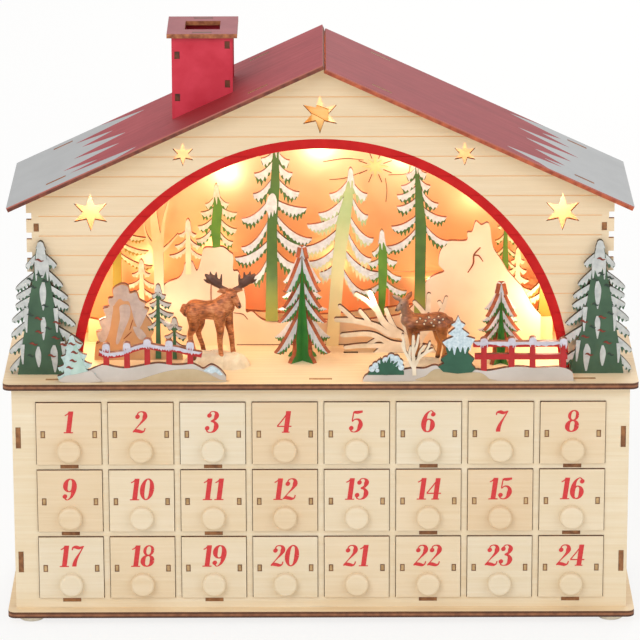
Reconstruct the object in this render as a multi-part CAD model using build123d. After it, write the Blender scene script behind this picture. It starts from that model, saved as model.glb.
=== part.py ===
from build123d import *
import os
from math import atan2, cos, degrees, pi, radians, sin, sqrt, tan

os.makedirs("parts", exist_ok=True)

# Driving dimensions, in millimetres. X runs to the right, Y to the back, Z up from the ground.

# Boards and fits
plate_width = 400.0
plate_depth = 120.0
plate_thickness = 4.0
plate_corner_radius = 5.0
panel_thickness = 3.0
thin_thickness = 2.5
fit_clearance = 0.15
run_clearance = 0.3
cut_overrun = 1.0

# Feet
foot_diameter = 17.0
foot_height = 5.0
foot_inset = 14.5
foot_edge_radius = 1.5

# Drawer box
box_side_lip = 5.0
box_front_lip = 9.0
box_height = 149.0
side_wall_inset = 2.2
side_tab_height = 13.8
side_tab_shares = (0.208, 0.7695)
plate_tab_width = 14.0
plate_tab_inset = 29.0

# Drawers, their shelves and dividers
column_count = 8
row_count = 3
drawer_bank_margin = 13.0
lowest_shelf_top = 6.5
drawer_top_room = 7.2
shelf_tab_width = 11.3
shelf_tab_columns = (0, 2, 5, 7)
column_gap = 4.5
row_gap = 3.9
drawer_proud = 1.2
drawer_gap = 0.4
drawer_back_room = 3.0
drawer_side_inset = 4.1
drawer_side_drop = 7.2
drawer_tab_height = 4.4
drawer_tab_rise = 18.0
knob_diameter = 15.0
knob_proud = 5.0
knob_edge_radius = 1.8
knob_rise = 9.6
knob_pin_diameter = 4.0

# House walls
wall_setback = 25.0
wall_side_lip = 15.8
house_back_lip = 9.0
eaves_rise_share = 0.6173
house_side_inset = 4.7
notch_depth = 3.3
notch_height = 4.5
notch_pitch_share = 0.1126
notch_top_drop = 8.7
notch_count = 8
mortise_height = 5.0
mortise_drop = 18.2
mortise_steps = 6
groove_width = 0.6
groove_depth = 0.4
groove_count = 14
wall_tab_width = 12.0
back_tab_inset = 64.2
arch_radius_share = 0.8214
scenery_reach_share = 0.836
arch_drop = 5.0
star_inner_share = 0.42
# each star, in shares of the scenery's reach: its place from the middle, height above the deck and radius
star_shares = (
    (0.0, 1.0929, 0.0799), (-0.934, 0.6818, 0.0792), (0.986, 0.6818, 0.0792), (-0.556, 0.9266, 0.0497),
    (0.586, 0.9266, 0.0497),
)

# Roof
eaves_overhang = 11.6
roof_slope_degrees = 24.85
roof_front_overhang = 12.5
roof_back_overhang = 7.5
roof_tab_width = 13.3
roof_tab_shares = (0.203, 0.8897)
ridge_lap_share = 1.05
ridge_clearance = 0.2

# Chimney
chimney_offset = 73.5
chimney_width = 38.2
chimney_depth = 41.0
chimney_setback = 47.5
chimney_over_ridge = 13.25
chimney_side_inset = 1.9
chimney_mortise_height = 4.4
chimney_left_drops = (11.5, 38.7)
chimney_right_drops = (5.0, 30.0)
cap_width = 44.0
cap_depth = 47.0
cap_thickness = 2.75
cap_hole = 22.0
cap_tab_width = 11.7

# Scenery boards: thickness, tabs, gaps between the layers, and shares of the room in front of the forest
scenery_thickness = 2.5
scenery_tab_width = 9.0
scenery_tab_short = 0.4
conifer_gap = 1.9
conifer_inset = 23.5
conifer_height = 89.5
conifer_width = 47.0
conifer_trunk_width = 30.0
conifer_tiers = 7
fence_setback = 5.0
drift_height = 9.5
post_width = 4.6
post_height = 28.0
upper_rail_rise = 22.0
lower_rail_rise = 15.0
rail_width = 4.4
left_fence_offset = 110.25
left_fence_length = 101.5
left_fir_width = 22.0
left_fir_height = 27.0
left_fir_trunk = 9.0
left_rail_reach = 6.0
right_fence_offset = 93.0
right_fence_length = 132.0
right_fir_width = 25.0
right_fir_height = 40.0
right_fir_trunk = 10.0
right_bush_width = 24.0
right_bush_height = 18.0
shrub_height = 30.0
shrub_spread = 11.0
shrub_twig_width = 1.8
rock_depth_share = 0.423
rock_place_share = -0.9286
rock_width = 37.0
rock_height = 52.0
rock_bank_length = 18.0
rock_fir_trunk = 4.0
rock_foot_height = 5.0
bush_depth_share = 0.6846
bush_offset = 35.0
bush_width = 52.0
bush_height = 44.0
bush_foot_height = 5.0
bush_twig_width = 3.4
forest_gap = 6.0
distant_gap = 2.7

# Cross-lapped firs
lap_turn_degrees = 45.0
centre_tree_offset = 11.6
centre_tree_depth_share = 0.423
centre_tree_height = 76.0
centre_tree_width = 49.0
right_tree_offset = 114.6
right_tree_depth_share = 0.3077
right_tree_height = 53.5
right_tree_width = 39.0
centre_trunk = 14.0
right_trunk = 11.0
small_fir_tiers = 4

# Deer figures
stag_offset = 64.5
stag_depth_share = 0.2115
stag_height = 60.0
stag_length = 46.0
doe_offset = 61.0
doe_depth_share = 0.1923
doe_height = 54.0
doe_length = 38.0
mound_height = 3.6
mound_width = 33.0
mound_depth = 21.0
mound_taper_degrees = 30.0

# Lights and battery box
strip_width = 9.0
strip_thickness = 1.2
strip_gap = 4.4
strip_half_angle = 80.0
bulb_angles = (-76.0, -46.0, -19.0, 0.0, 19.0, 46.0, 76.0)
bulb_diameter = 3.0
bulb_length = 3.4
bulb_seat = 0.05
battery_offset = 78.0
battery_rise = 7.0
cell_diameter = 14.5
cell_length = 50.5
cell_count = 2
cell_room = 0.6
cell_nub_share = 0.02
cell_nub_width_share = 0.38
case_wall = 1.6
rail_lip = 1.2
cover_thickness = 1.6
switch_width = 5.0
switch_length = 6.0
switch_proud = 2.0
switch_travel = 4.0
switch_bay = 12.0

# Levels and places that follow from the driving dimensions
base_bottom = foot_height
box_bottom = base_bottom + plate_thickness
deck_bottom = box_bottom + box_height
deck_top = deck_bottom + plate_thickness
plate_front = -plate_depth / 2
box_width = plate_width - 2 * box_side_lip
box_depth = plate_depth - 2 * box_front_lip
plate_tab_offset = box_width / 2 - plate_tab_inset
side_tab_heights = [share * box_height for share in side_tab_shares]
column_pitch = (box_width - 2 * drawer_bank_margin) / column_count
row_pitch = (box_height - lowest_shelf_top - drawer_top_room) / row_count
drawer_width = column_pitch - column_gap
drawer_height = row_pitch - row_gap
drawer_side_offset = drawer_width / 2 - drawer_side_inset
drawer_side_height = drawer_height - drawer_side_drop
box_front_face = -box_depth / 2
box_back_face = box_depth / 2
box_inner_front = box_front_face + panel_thickness
box_inner_back = box_back_face - panel_thickness
wall_half_width = plate_width / 2 - wall_side_lip
house_depth = plate_depth - wall_setback - house_back_lip
wall_front_face = plate_front + wall_setback
wall_back_face = wall_front_face + house_depth
slope = radians(roof_slope_degrees)
eaves_rise = wall_half_width * eaves_rise_share
ridge_under = deck_top + eaves_rise + wall_half_width * tan(slope)
roof_half_width = wall_half_width + eaves_overhang
roof_tab_places = [share * wall_half_width / cos(slope) for share in roof_tab_shares]
notch_top = eaves_rise - notch_top_drop
notch_pitch = eaves_rise * notch_pitch_share
mortise_rise = eaves_rise - mortise_drop
back_tab_offset = wall_half_width - back_tab_inset
arch_radius = wall_half_width * arch_radius_share
scenery_reach = wall_half_width * scenery_reach_share
arch_centre = deck_top - arch_drop

# Depths of the scenery's layers behind the deck's front edge: the back ones stand clear of the battery box
case_depth = cell_diameter + 2 * cell_room + case_wall
room_setback = wall_setback + panel_thickness
distant_setback = wall_setback + house_depth - case_depth - distant_gap - scenery_thickness
forest_setback = distant_setback - forest_gap - scenery_thickness
front_room = forest_setback - room_setback
conifer_setback = wall_setback - scenery_thickness - conifer_gap
conifer_offset = plate_width / 2 - conifer_inset
rock_setback = room_setback + front_room * rock_depth_share
rock_start = scenery_reach * rock_place_share
bush_setback = room_setback + front_room * bush_depth_share
bush_start = bush_offset - bush_width / 2
centre_tree_setback = room_setback + front_room * centre_tree_depth_share
right_tree_setback = room_setback + front_room * right_tree_depth_share
stag_setback = room_setback + front_room * stag_depth_share
doe_setback = room_setback + front_room * doe_depth_share
left_drift_start = -left_fence_offset - left_fence_length / 2
right_drift_start = right_fence_offset - right_fence_length / 2


def rise_plane(back):
    """Upright plane across the object, looking to the front, whose sketch lies in X and Z."""
    return Plane(origin=(0, back, 0), x_dir=(1, 0, 0), z_dir=(0, -1, 0))


def upright(sketch, front, thickness):
    """Board across the object: a sketch in X and Z, carried back from its front face."""
    faces = [f if f.normal_at().Z > 0 else -f for f in sketch.faces()]
    board = [extrude(rise_plane(front + thickness) * f, amount=thickness) for f in faces]
    return Part() + board


def block(low, high):
    """Box between two corners."""
    size = [b - a for a, b in zip(low, high)]
    middle = [(a + b) / 2 for a, b in zip(low, high)]
    return Pos(*middle) * Box(*size)


def window(x, z, width, height):
    """Rectangle in X and Z about a middle point."""
    return Pos(x, z) * Rectangle(width, height)


def node(name, *solids):
    """One STEP file for one piece, or for a group of like pieces."""
    parts = [s for piece in solids for s in piece.solids()]
    shape = parts[0] if len(parts) == 1 else Compound(children=parts)
    shape.label = name
    export_step(shape, f"parts/{name}.step")


# Feet: round pads under the base plate's corners
foot_x = plate_width / 2 - foot_inset
foot_y = plate_depth / 2 - foot_inset
foot = Cylinder(foot_diameter / 2, foot_height, align=(Align.CENTER, Align.CENTER, Align.MIN))
foot = fillet(foot.edges().group_by(Axis.Z)[0], foot_edge_radius)
node("feet", *[Pos(x, y, 0) * foot for x in (-foot_x, foot_x) for y in (-foot_y, foot_y)])

# Base and deck plates, before the slots that the boards standing on them need
plate_outline = RectangleRounded(plate_width, plate_depth, plate_corner_radius)
plate = extrude(plate_outline, amount=plate_thickness)
plate_tab_places = (-plate_tab_offset, 0, plate_tab_offset)


def plate_slots(bottom, front, places, width, thickness):
    """Slots through a plate for the tabs of a board that stands on it or hangs under it."""
    middle = front + thickness / 2
    size = (width + 2 * fit_clearance, thickness + 2 * fit_clearance, plate_thickness + 2 * cut_overrun)
    return [Pos(x, middle, bottom + plate_thickness / 2) * Box(*size) for x in places]


box_slots = [
    cut
    for bottom in (base_bottom, deck_bottom)
    for front in (box_front_face, box_inner_back)
    for cut in plate_slots(bottom, front, plate_tab_places, plate_tab_width, panel_thickness)
]
node("base_plate", Pos(0, 0, base_bottom) * plate - box_slots)
deck = Pos(0, 0, deck_bottom) * plate - box_slots

# Drawer places: middles of the columns, and the shelf top under each row
column_middles = [(i - (column_count - 1) / 2) * column_pitch for i in range(column_count)]
shelf_tops = [box_bottom + lowest_shelf_top + i * row_pitch for i in range(row_count)]
divider_middles = [(i - column_count / 2) * column_pitch for i in range(column_count + 1)]
side_wall_outer = box_width / 2 - side_wall_inset
side_wall_inner = side_wall_outer - panel_thickness
shelf_tab_places = [column_middles[i] for i in shelf_tab_columns]
window_height = drawer_height + run_clearance + drawer_gap


def tab_slots(grow):
    """Places of the side walls' and shelves' tabs in the front and back panels."""
    side_x = side_wall_outer - panel_thickness / 2
    sides = [
        window(x, box_bottom + z, panel_thickness + 2 * grow, side_tab_height + 2 * grow)
        for x in (-side_x, side_x)
        for z in side_tab_heights
    ]
    shelves = [
        window(x, top - thin_thickness / 2, shelf_tab_width + 2 * grow, thin_thickness + 2 * grow)
        for x in shelf_tab_places
        for top in shelf_tops
    ]
    return sides + shelves


def box_panel():
    """Front or back panel of the drawer box with its tabs for the two plates and its slots."""
    panel = window(0, box_bottom + box_height / 2, box_width, box_height)
    tall = box_height + 2 * plate_thickness
    tabs = [window(x, box_bottom + box_height / 2, plate_tab_width, tall) for x in plate_tab_places]
    return panel + tabs - tab_slots(fit_clearance)


# Front panel with a window for each drawer, and the closed back panel
drawer_windows = [
    window(x, top + window_height / 2, drawer_width + 2 * drawer_gap, window_height)
    for x in column_middles
    for top in shelf_tops
]
node("box_front", upright(box_panel() - drawer_windows, box_front_face, panel_thickness))
node("box_back", upright(box_panel(), box_inner_back, panel_thickness))

# Side walls between the two panels, with tabs that show in the front
side_tab_bars = [
    block(
        (side_wall_inner, box_front_face, box_bottom + z - side_tab_height / 2),
        (side_wall_outer, box_back_face, box_bottom + z + side_tab_height / 2),
    )
    for z in side_tab_heights
]
side_wall = block(
    (side_wall_inner, box_inner_front, box_bottom),
    (side_wall_outer, box_inner_back, deck_bottom),
)
right_wall = side_wall + side_tab_bars
node("box_right", right_wall)
node("box_left", mirror(right_wall, Plane.YZ))

# Shelves and dividers, halved into each other where they cross
lap_middle = (box_inner_front + box_inner_back) / 2
lap_width = thin_thickness + 2 * fit_clearance


def shelf(top):
    """Shelf with tabs through the front and back panels, slotted from the back for the dividers."""
    low = top - thin_thickness
    board = block((-side_wall_inner, box_inner_front, low), (side_wall_inner, box_inner_back, top))
    tabs = [
        block(
            (x - shelf_tab_width / 2, box_front_face, low),
            (x + shelf_tab_width / 2, box_back_face, top),
        )
        for x in shelf_tab_places
    ]
    laps = [
        block(
            (x - lap_width / 2, lap_middle, low - cut_overrun),
            (x + lap_width / 2, box_inner_back + cut_overrun, top + cut_overrun),
        )
        for x in divider_middles
    ]
    return board + tabs - laps


def divider(x):
    """Upright between two columns, slotted from the front for the shelves."""
    low, high = x - thin_thickness / 2, x + thin_thickness / 2
    board = block((low, box_inner_front, box_bottom), (high, box_inner_back, deck_bottom))
    laps = [
        block(
            (low - cut_overrun, box_inner_front - cut_overrun, top - thin_thickness - fit_clearance),
            (high + cut_overrun, lap_middle, top + fit_clearance),
        )
        for top in shelf_tops
    ]
    return board - laps


node("drawer_shelves", *[shelf(top) for top in shelf_tops])
node("drawer_dividers", *[divider(x) for x in divider_middles])

# Drawers: front, two sides tabbed through it, back, floor and turned knob
drawer_front_face = box_front_face - drawer_proud
drawer_inner_front = drawer_front_face + panel_thickness
drawer_end = box_inner_back - drawer_back_room
knob_pin_room = knob_pin_diameter + 2 * fit_clearance


def drawer(x, bottom):
    """The six solids of one drawer, standing on its bottom edge."""
    middle = bottom + drawer_height / 2
    tab_middle = bottom + drawer_tab_rise + drawer_tab_height / 2
    side_places = (x - drawer_side_offset, x + drawer_side_offset)
    slots = [
        window(s, tab_middle, thin_thickness + 2 * fit_clearance, drawer_tab_height + 2 * fit_clearance)
        for s in side_places
    ]
    pin_hole = Pos(x, bottom + knob_rise) * Circle(knob_pin_room / 2)
    face = window(x, middle, drawer_width, drawer_height) - slots - pin_hole
    front = upright(face, drawer_front_face, panel_thickness)
    sides = []
    for s in side_places:
        low, high = s - thin_thickness / 2, s + thin_thickness / 2
        wall = block((low, drawer_inner_front, bottom), (high, drawer_end, bottom + drawer_side_height))
        tab = block(
            (low, drawer_front_face, tab_middle - drawer_tab_height / 2),
            (high, drawer_inner_front, tab_middle + drawer_tab_height / 2),
        )
        sides.append(wall + tab)
    left = side_places[0] + thin_thickness / 2
    right = side_places[1] - thin_thickness / 2
    back_front = drawer_end - thin_thickness
    floor = block((left, drawer_inner_front, bottom), (right, back_front, bottom + thin_thickness))
    back = block((left, back_front, bottom), (right, drawer_end, bottom + drawer_side_height))
    return [front, *sides, floor, back, knob(x, bottom + knob_rise)]


def knob(x, z):
    """Turned button with a soft front edge, on a pin that is glued into the drawer's front."""
    base = rise_plane(drawer_front_face) * Pos(x, z)
    button = base * extrude(Circle(knob_diameter / 2), amount=knob_proud)
    button = fillet(button.edges().group_by(Axis.Y)[0], knob_edge_radius)
    pin = base * extrude(Circle(knob_pin_diameter / 2), amount=-panel_thickness)
    return button + pin


for row in range(row_count):
    for column in range(column_count):
        number = row * column_count + column + 1
        bottom = shelf_tops[row_count - 1 - row] + run_clearance
        node(f"drawer_{number:02d}", *drawer(column_middles[column], bottom))


def under_roof(side, along, above):
    """Point in X and Z by its distance down the slope from the ridge and above the roof's underside."""
    x = side * (along * cos(slope) + above * sin(slope))
    z = ridge_under - along * sin(slope) + above * cos(slope)
    return (x, z)


def slope_bar(side, place, width, low, high):
    """Bar across the roof's thickness, for a tab or for the slot that takes it."""
    start, end = place - width / 2, place + width / 2
    corners = ((start, low), (end, low), (end, high), (start, high))
    return Polygon(*[under_roof(side, along, above) for along, above in corners])


def star(x, z, radius):
    """Six-pointed star standing on a point."""
    turns = [pi / 2 + i * pi / 6 for i in range(12)]
    reach = [radius * (1 if i % 2 == 0 else star_inner_share) for i in range(12)]
    return Polygon(*[(x + r * cos(a), z + r * sin(a)) for r, a in zip(reach, turns)])


# House front and back walls: gable outline, log-end notches, tabs into the deck and through the roof
wall_eave = deck_top + eaves_rise
leg_width = wall_half_width - arch_radius
front_tab_places = [s * (wall_half_width - leg_width / 2) for s in (-1, 1)]
back_tab_places = (-back_tab_offset, back_tab_offset)
house_side_outer = wall_half_width - house_side_inset
house_side_inner = house_side_outer - panel_thickness
mortise_rises = (mortise_rise, mortise_rise - mortise_steps * notch_pitch)
house_tab_width = panel_thickness + 2 * fit_clearance


def gable_wall(tab_places):
    """Wall with a gable and tabs into the deck at the given places, before its own cut-outs."""
    corners = (
        (-wall_half_width, deck_top),
        (wall_half_width, deck_top),
        (wall_half_width, wall_eave),
        (0, ridge_under),
        (-wall_half_width, wall_eave),
    )
    feet = [
        window(x, deck_top - plate_thickness / 2, wall_tab_width, plate_thickness)
        for x in tab_places
    ]
    crown = [
        slope_bar(side, place, roof_tab_width, -panel_thickness, panel_thickness)
        for side in (-1, 1)
        for place in roof_tab_places
    ]
    notches = [
        window(
            side * (wall_half_width - notch_depth / 2),
            deck_top + notch_top - i * notch_pitch - notch_height / 2,
            notch_depth,
            notch_height,
        )
        for side in (-1, 1)
        for i in range(notch_count)
    ]
    mortises = [
        window(side * (house_side_outer + house_side_inner) / 2, deck_top + rise, house_tab_width,
               mortise_height + 2 * fit_clearance)
        for side in (-1, 1)
        for rise in mortise_rises
    ]
    return Polygon(*corners) + feet + crown - notches - mortises


stars = [
    star(place * scenery_reach, deck_top + rise * scenery_reach, radius * scenery_reach)
    for place, rise, radius in star_shares
]
arch = Pos(0, arch_centre) * Circle(arch_radius) - window(
    0, deck_top - plate_width / 2, plate_width, plate_width
)
front_wall = upright(gable_wall(front_tab_places) - arch - stars, wall_front_face, panel_thickness)
grooves = []
for i in range(groove_count):
    level = deck_top + notch_top - notch_height / 2 + (i - notch_count + 1) * notch_pitch
    reach = min(house_side_inner, (ridge_under - level) / tan(slope) - panel_thickness)
    grooves.append(
        block(
            (-reach, wall_front_face - cut_overrun, level - groove_width / 2),
            (reach, wall_front_face + groove_depth, level + groove_width / 2),
        )
    )
node("house_front", front_wall - grooves)

# Battery box place in the back wall
pack_length = cell_length + 2 * cell_room
pack_height = cell_count * (cell_diameter + cell_room) + cell_room
case_length = pack_length + switch_bay + 2 * case_wall
case_height = pack_height + 2 * case_wall
case_low = deck_top + battery_rise
case_middle = case_low + case_height / 2
wall_inner_back = wall_back_face - panel_thickness
case_hole = window(battery_offset, case_middle, case_length + 2 * fit_clearance,
                   case_height + 2 * fit_clearance)
node("house_back", upright(gable_wall(back_tab_places) - case_hole, wall_inner_back, panel_thickness))

# Side walls of the house, cut to the slope at the top and tabbed through the front and back
wall_inner_front = wall_front_face + panel_thickness
house_side_outline = Polygon(
    (house_side_inner, deck_top),
    (house_side_outer, deck_top),
    (house_side_outer, ridge_under - house_side_outer * tan(slope)),
    (house_side_inner, ridge_under - house_side_inner * tan(slope)),
)
house_side = upright(house_side_outline, wall_inner_front, house_depth - 2 * panel_thickness)
house_side += [
    block(
        (house_side_inner, wall_front_face, deck_top + rise - mortise_height / 2),
        (house_side_outer, wall_back_face, deck_top + rise + mortise_height / 2),
    )
    for rise in mortise_rises
]
node("house_sides", house_side, mirror(house_side, Plane.YZ))

# Slots in the deck for the house walls
deck -= plate_slots(deck_bottom, wall_front_face, front_tab_places, wall_tab_width, panel_thickness)
deck -= plate_slots(deck_bottom, wall_inner_back, back_tab_places, wall_tab_width, panel_thickness)

# Roof panels with slots for the walls' tabs: the left one runs past the ridge, the right one stops under it
roof_front = wall_front_face - roof_front_overhang
roof_back = wall_back_face + roof_back_overhang
roof_starts = {-1: -panel_thickness * ridge_lap_share, 1: panel_thickness / tan(2 * slope) + ridge_clearance}
roof_end = (roof_half_width - panel_thickness * sin(slope)) / cos(slope)


def roof_panel(side):
    """Slab from the ridge to the eave on one side."""
    middle, length = (roof_starts[side] + roof_end) / 2, roof_end - roof_starts[side]
    slab = upright(slope_bar(side, middle, length, 0, panel_thickness), roof_front, roof_back - roof_front)
    for front in (wall_front_face, wall_inner_back):
        for place in roof_tab_places:
            bar = slope_bar(side, place, roof_tab_width + 2 * fit_clearance, -cut_overrun,
                            panel_thickness + cut_overrun)
            slab -= upright(bar, front - fit_clearance, panel_thickness + 2 * fit_clearance)
    return slab


node("roof_left", roof_panel(-1))
node("roof_right", roof_panel(1))

# Chimney: four panels that stand on the left slope, and a cap on their tabs
chimney_front = plate_front + chimney_setback
chimney_back = chimney_front + chimney_depth
chimney_top = ridge_under + chimney_over_ridge
chimney_low_x = -chimney_offset - chimney_width / 2
chimney_high_x = -chimney_offset + chimney_width / 2
# each side panel: its left face and the drops of its tabs from the chimney's top
chimney_side_rows = (
    (chimney_low_x + chimney_side_inset, chimney_left_drops),
    (chimney_high_x - chimney_side_inset - panel_thickness, chimney_right_drops),
)


def roof_top_at(x):
    """Height of the left roof panel's upper face at a place across the object."""
    return ridge_under + panel_thickness / cos(slope) - abs(x) * tan(slope)


def chimney_board(low_x, high_x):
    """Outline in X and Z that stands on the slope and ends under the cap."""
    return Polygon(
        (low_x, roof_top_at(low_x)),
        (high_x, roof_top_at(high_x)),
        (high_x, chimney_top),
        (low_x, chimney_top),
    )


chimney_mortise_room = chimney_mortise_height + 2 * fit_clearance
chimney_mortises = [
    window(x + panel_thickness / 2, chimney_top - drop, house_tab_width, chimney_mortise_room)
    for x, drops in chimney_side_rows
    for drop in drops
]
cap_tab = window(-chimney_offset, chimney_top + cap_thickness / 2, cap_tab_width, cap_thickness)
chimney_face = chimney_board(chimney_low_x, chimney_high_x) + cap_tab - chimney_mortises
node("chimney_front", upright(chimney_face, chimney_front, panel_thickness))
node("chimney_back", upright(chimney_face, chimney_back - panel_thickness, panel_thickness))
chimney_sides = []
for low_x, drops in chimney_side_rows:
    high_x = low_x + panel_thickness
    inside = chimney_depth - 2 * panel_thickness
    board = upright(chimney_board(low_x, high_x), chimney_front + panel_thickness, inside)
    board += [
        block(
            (low_x, chimney_front, chimney_top - drop - chimney_mortise_height / 2),
            (high_x, chimney_back, chimney_top - drop + chimney_mortise_height / 2),
        )
        for drop in drops
    ]
    chimney_sides.append(board)
node("chimney_sides", *chimney_sides)
cap_middle = (chimney_front + chimney_back) / 2
cap_slots = [
    Pos(-chimney_offset, front + panel_thickness / 2)
    * Rectangle(cap_tab_width + 2 * fit_clearance, panel_thickness + 2 * fit_clearance)
    for front in (chimney_front, chimney_back - panel_thickness)
]
cap_frame = Rectangle(cap_width, cap_depth) - Rectangle(cap_hole, cap_hole)
cap_outline = Pos(-chimney_offset, cap_middle) * cap_frame
node("chimney_cap", Pos(0, 0, chimney_top) * extrude(cap_outline - cap_slots, amount=cap_thickness))


narrow_share = 0.62
apex_share = 0.4


def fir(x, foot, width, height, tiers, trunk_width, notch_share=0.55, trunk_share=0.12):
    """Fir outline: each tier runs out to a drooping tip and back in to a notch, above a short trunk."""
    top = foot + height
    step = height * (1 - trunk_share) / tiers
    side = [(width / 2 / tiers * apex_share, top)]
    for i in range(tiers):
        reach = width / 2 * (i + 1) / tiers
        tip = top - (i + 1) * step
        side.append((reach, tip))
        if i < tiers - 1:
            inset = max(reach * notch_share, min(trunk_width / 2, reach * narrow_share))
            side.append((inset, tip + step * notch_share / 2))
    side += [(trunk_width / 2, side[-1][1]), (trunk_width / 2, foot)]
    right = [(x + across, z) for across, z in side]
    left = [(x - across, z) for across, z in reversed(side)]
    return Polygon(*right, *left)


def ridge(points):
    """Closed outline from a skyline of points down to the deck."""
    return Polygon((points[0][0], deck_top), *points, (points[-1][0], deck_top))


def scenery(name, setback, outline, tab_places, thickness=scenery_thickness):
    """Board of scenery on the deck with tabs in the deck's slots; returns the slots to cut."""
    front = plate_front + setback
    tab_depth = plate_thickness - scenery_tab_short
    tabs = [window(x, deck_top - tab_depth / 2, scenery_tab_width, tab_depth) for x in tab_places]
    below_deck = window(0, deck_top - plate_width / 2, plate_width, plate_width)
    node(name, upright(outline - below_deck + tabs, front, thickness))
    return plate_slots(deck_bottom, front, tab_places, scenery_tab_width, thickness)


# Large conifers beside the arch: broad bodies with short drooping tiers
conifer_outline = fir(conifer_offset, deck_top, conifer_width, conifer_height, conifer_tiers,
                      conifer_trunk_width, trunk_share=0.02)
deck -= scenery("right_conifer", conifer_setback, conifer_outline, (conifer_offset,))
deck -= scenery("left_conifer", conifer_setback, mirror(conifer_outline, Plane.YZ), (-conifer_offset,))


def drift(start, length, shares):
    """Snow bank from a place on, with its top edge in shares of its length and height."""
    return ridge([(start + along * length, deck_top + rise * drift_height) for along, rise in shares])


def post(x):
    """Fence post with a rounded snow cap."""
    shaft = window(x, deck_top + post_height / 2 - post_width / 4, post_width, post_height - post_width / 2)
    return shaft + Pos(x, deck_top + post_height - post_width / 2) * Circle(post_width / 2)


def rail(start, end, rise):
    """Fence rail between two places, at a height above the deck."""
    return window((start + end) / 2, deck_top + rise, end - start, rail_width)


def twigs(x, foot, spread, height, width, shares):
    """Bare shrub: tapered twigs from shares of its spread and height, each from a fork to a rounded tip."""
    shape = []
    for (x0, z0), (x1, z1) in shares:
        start = (x + x0 * spread, foot + z0 * height)
        run = ((x1 - x0) * spread, (z1 - z0) * height)
        reach = sqrt(run[0] ** 2 + run[1] ** 2)
        stem = Pos(reach / 2, 0) * Rectangle(reach, width) + Pos(reach, 0) * Circle(width / 2)
        shape.append(Pos(*start) * Rot(0, 0, degrees(atan2(run[1], run[0]))) * (stem + Circle(width / 2)))
    return Sketch() + shape


# Left fence board: small fir, five posts with one rail, a bush, all on a snow bank
left_bank_shares = (
    (0, 0.35), (0.1, 0.75), (0.25, 1.0), (0.4, 0.88), (0.55, 0.98), (0.72, 1.0), (0.82, 0.78), (0.88, 0.9),
    (0.94, 0.72), (1.0, 0.12),
)
left_post_shares = (0.256, 0.386, 0.51, 0.647, 0.783)
left_posts = [left_drift_start + share * left_fence_length for share in left_post_shares]
left_fir_share = 0.09
left_fence = drift(left_drift_start, left_fence_length, left_bank_shares)
left_fir_x = left_drift_start + left_fir_share * left_fence_length
left_fence += fir(left_fir_x, deck_top, left_fir_width, left_fir_height, small_fir_tiers, left_fir_trunk)
left_fence += [post(x) for x in left_posts]
left_fence += rail(left_posts[0] - left_rail_reach, left_posts[-1] + left_rail_reach, upper_rail_rise)
fence_tab_shares = (0.2, 0.8)
left_tabs = [left_drift_start + share * left_fence_length for share in fence_tab_shares]
deck -= scenery("left_fence", fence_setback, left_fence, left_tabs)

# Right fence board: snow bush, bare shrub, small fir, four posts with two rails
right_bank_shares = (
    (0, 0.15), (0.06, 0.45), (0.2, 0.62), (0.32, 0.9), (0.42, 0.62), (0.55, 0.6), (0.68, 0.85), (0.82, 1.0),
    (0.94, 0.8), (1.0, 0.45),
)
right_post_shares = (0.574, 0.703, 0.808, 0.965)
right_posts = [right_drift_start + share * right_fence_length for share in right_post_shares]
right_fir_share = 0.44
right_bush_share = 0.1
right_bush_shares = (
    (-0.5, 0.2), (-0.4, 0.62), (-0.22, 0.7), (-0.1, 0.92), (0.12, 1.0), (0.3, 0.86), (0.42, 0.9),
    (0.5, 0.25),
)
shrub_share = 0.255
shrub_shares = (
    ((0, 0), (0, 0.75)), ((0, 0.15), (-0.55, 0.5)), ((-0.55, 0.5), (-0.7, 0.8)), ((0, 0.4), (-0.3, 0.95)),
    ((0, 0.1), (0.55, 0.45)), ((0.55, 0.45), (0.9, 0.62)), ((0.35, 0.32), (0.42, 0.85)),
    ((0, 0.55), (0.18, 1.0)),
)
right_bush_x = right_drift_start + right_bush_share * right_fence_length
right_fence = drift(right_drift_start, right_fence_length, right_bank_shares)
right_fence += ridge(
    [(right_bush_x + a * right_bush_width, deck_top + b * right_bush_height) for a, b in right_bush_shares]
)
shrub_x = right_drift_start + shrub_share * right_fence_length
right_fence += twigs(shrub_x, deck_top, shrub_spread, shrub_height, shrub_twig_width, shrub_shares)
right_fir_x = right_drift_start + right_fir_share * right_fence_length
right_fence += fir(right_fir_x, deck_top, right_fir_width, right_fir_height, small_fir_tiers,
                   right_fir_trunk)
right_fence += [post(x) for x in right_posts]
right_fence += [rail(right_posts[0], right_posts[-1], rise) for rise in (upper_rail_rise, lower_rail_rise)]
right_tabs = [right_drift_start + share * right_fence_length for share in fence_tab_shares]
deck -= scenery("right_fence", fence_setback, right_fence, right_tabs)

# Rock board behind the left fence, with two small firs on one snow bank
rock_shares = (
    (0, 0.1), (0.06, 0.42), (0.16, 0.62), (0.24, 0.9), (0.4, 1.0), (0.56, 0.84), (0.66, 0.88), (0.78, 0.66),
    (0.92, 0.58), (1.0, 0.1),
)
rock_fir_shares = ((1.12, 0.98, 0.36), (1.36, 0.58, 0.3))
rock_board = ridge([(rock_start + a * rock_width, deck_top + b * rock_height) for a, b in rock_shares])
rock_reach = rock_width + rock_bank_length
rock_middle = rock_start + rock_reach / 2
rock_board += window(rock_middle, deck_top + rock_foot_height / 2, rock_reach, rock_foot_height)
for place, tall, wide in rock_fir_shares:
    fir_x = rock_start + place * rock_width
    rock_board += fir(fir_x, deck_top, wide * rock_width, tall * rock_height, small_fir_tiers,
                      rock_fir_trunk)
rock_tabs = [rock_start + share * rock_width for share in fence_tab_shares]
deck -= scenery("rock_board", rock_setback, rock_board, rock_tabs)

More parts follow.
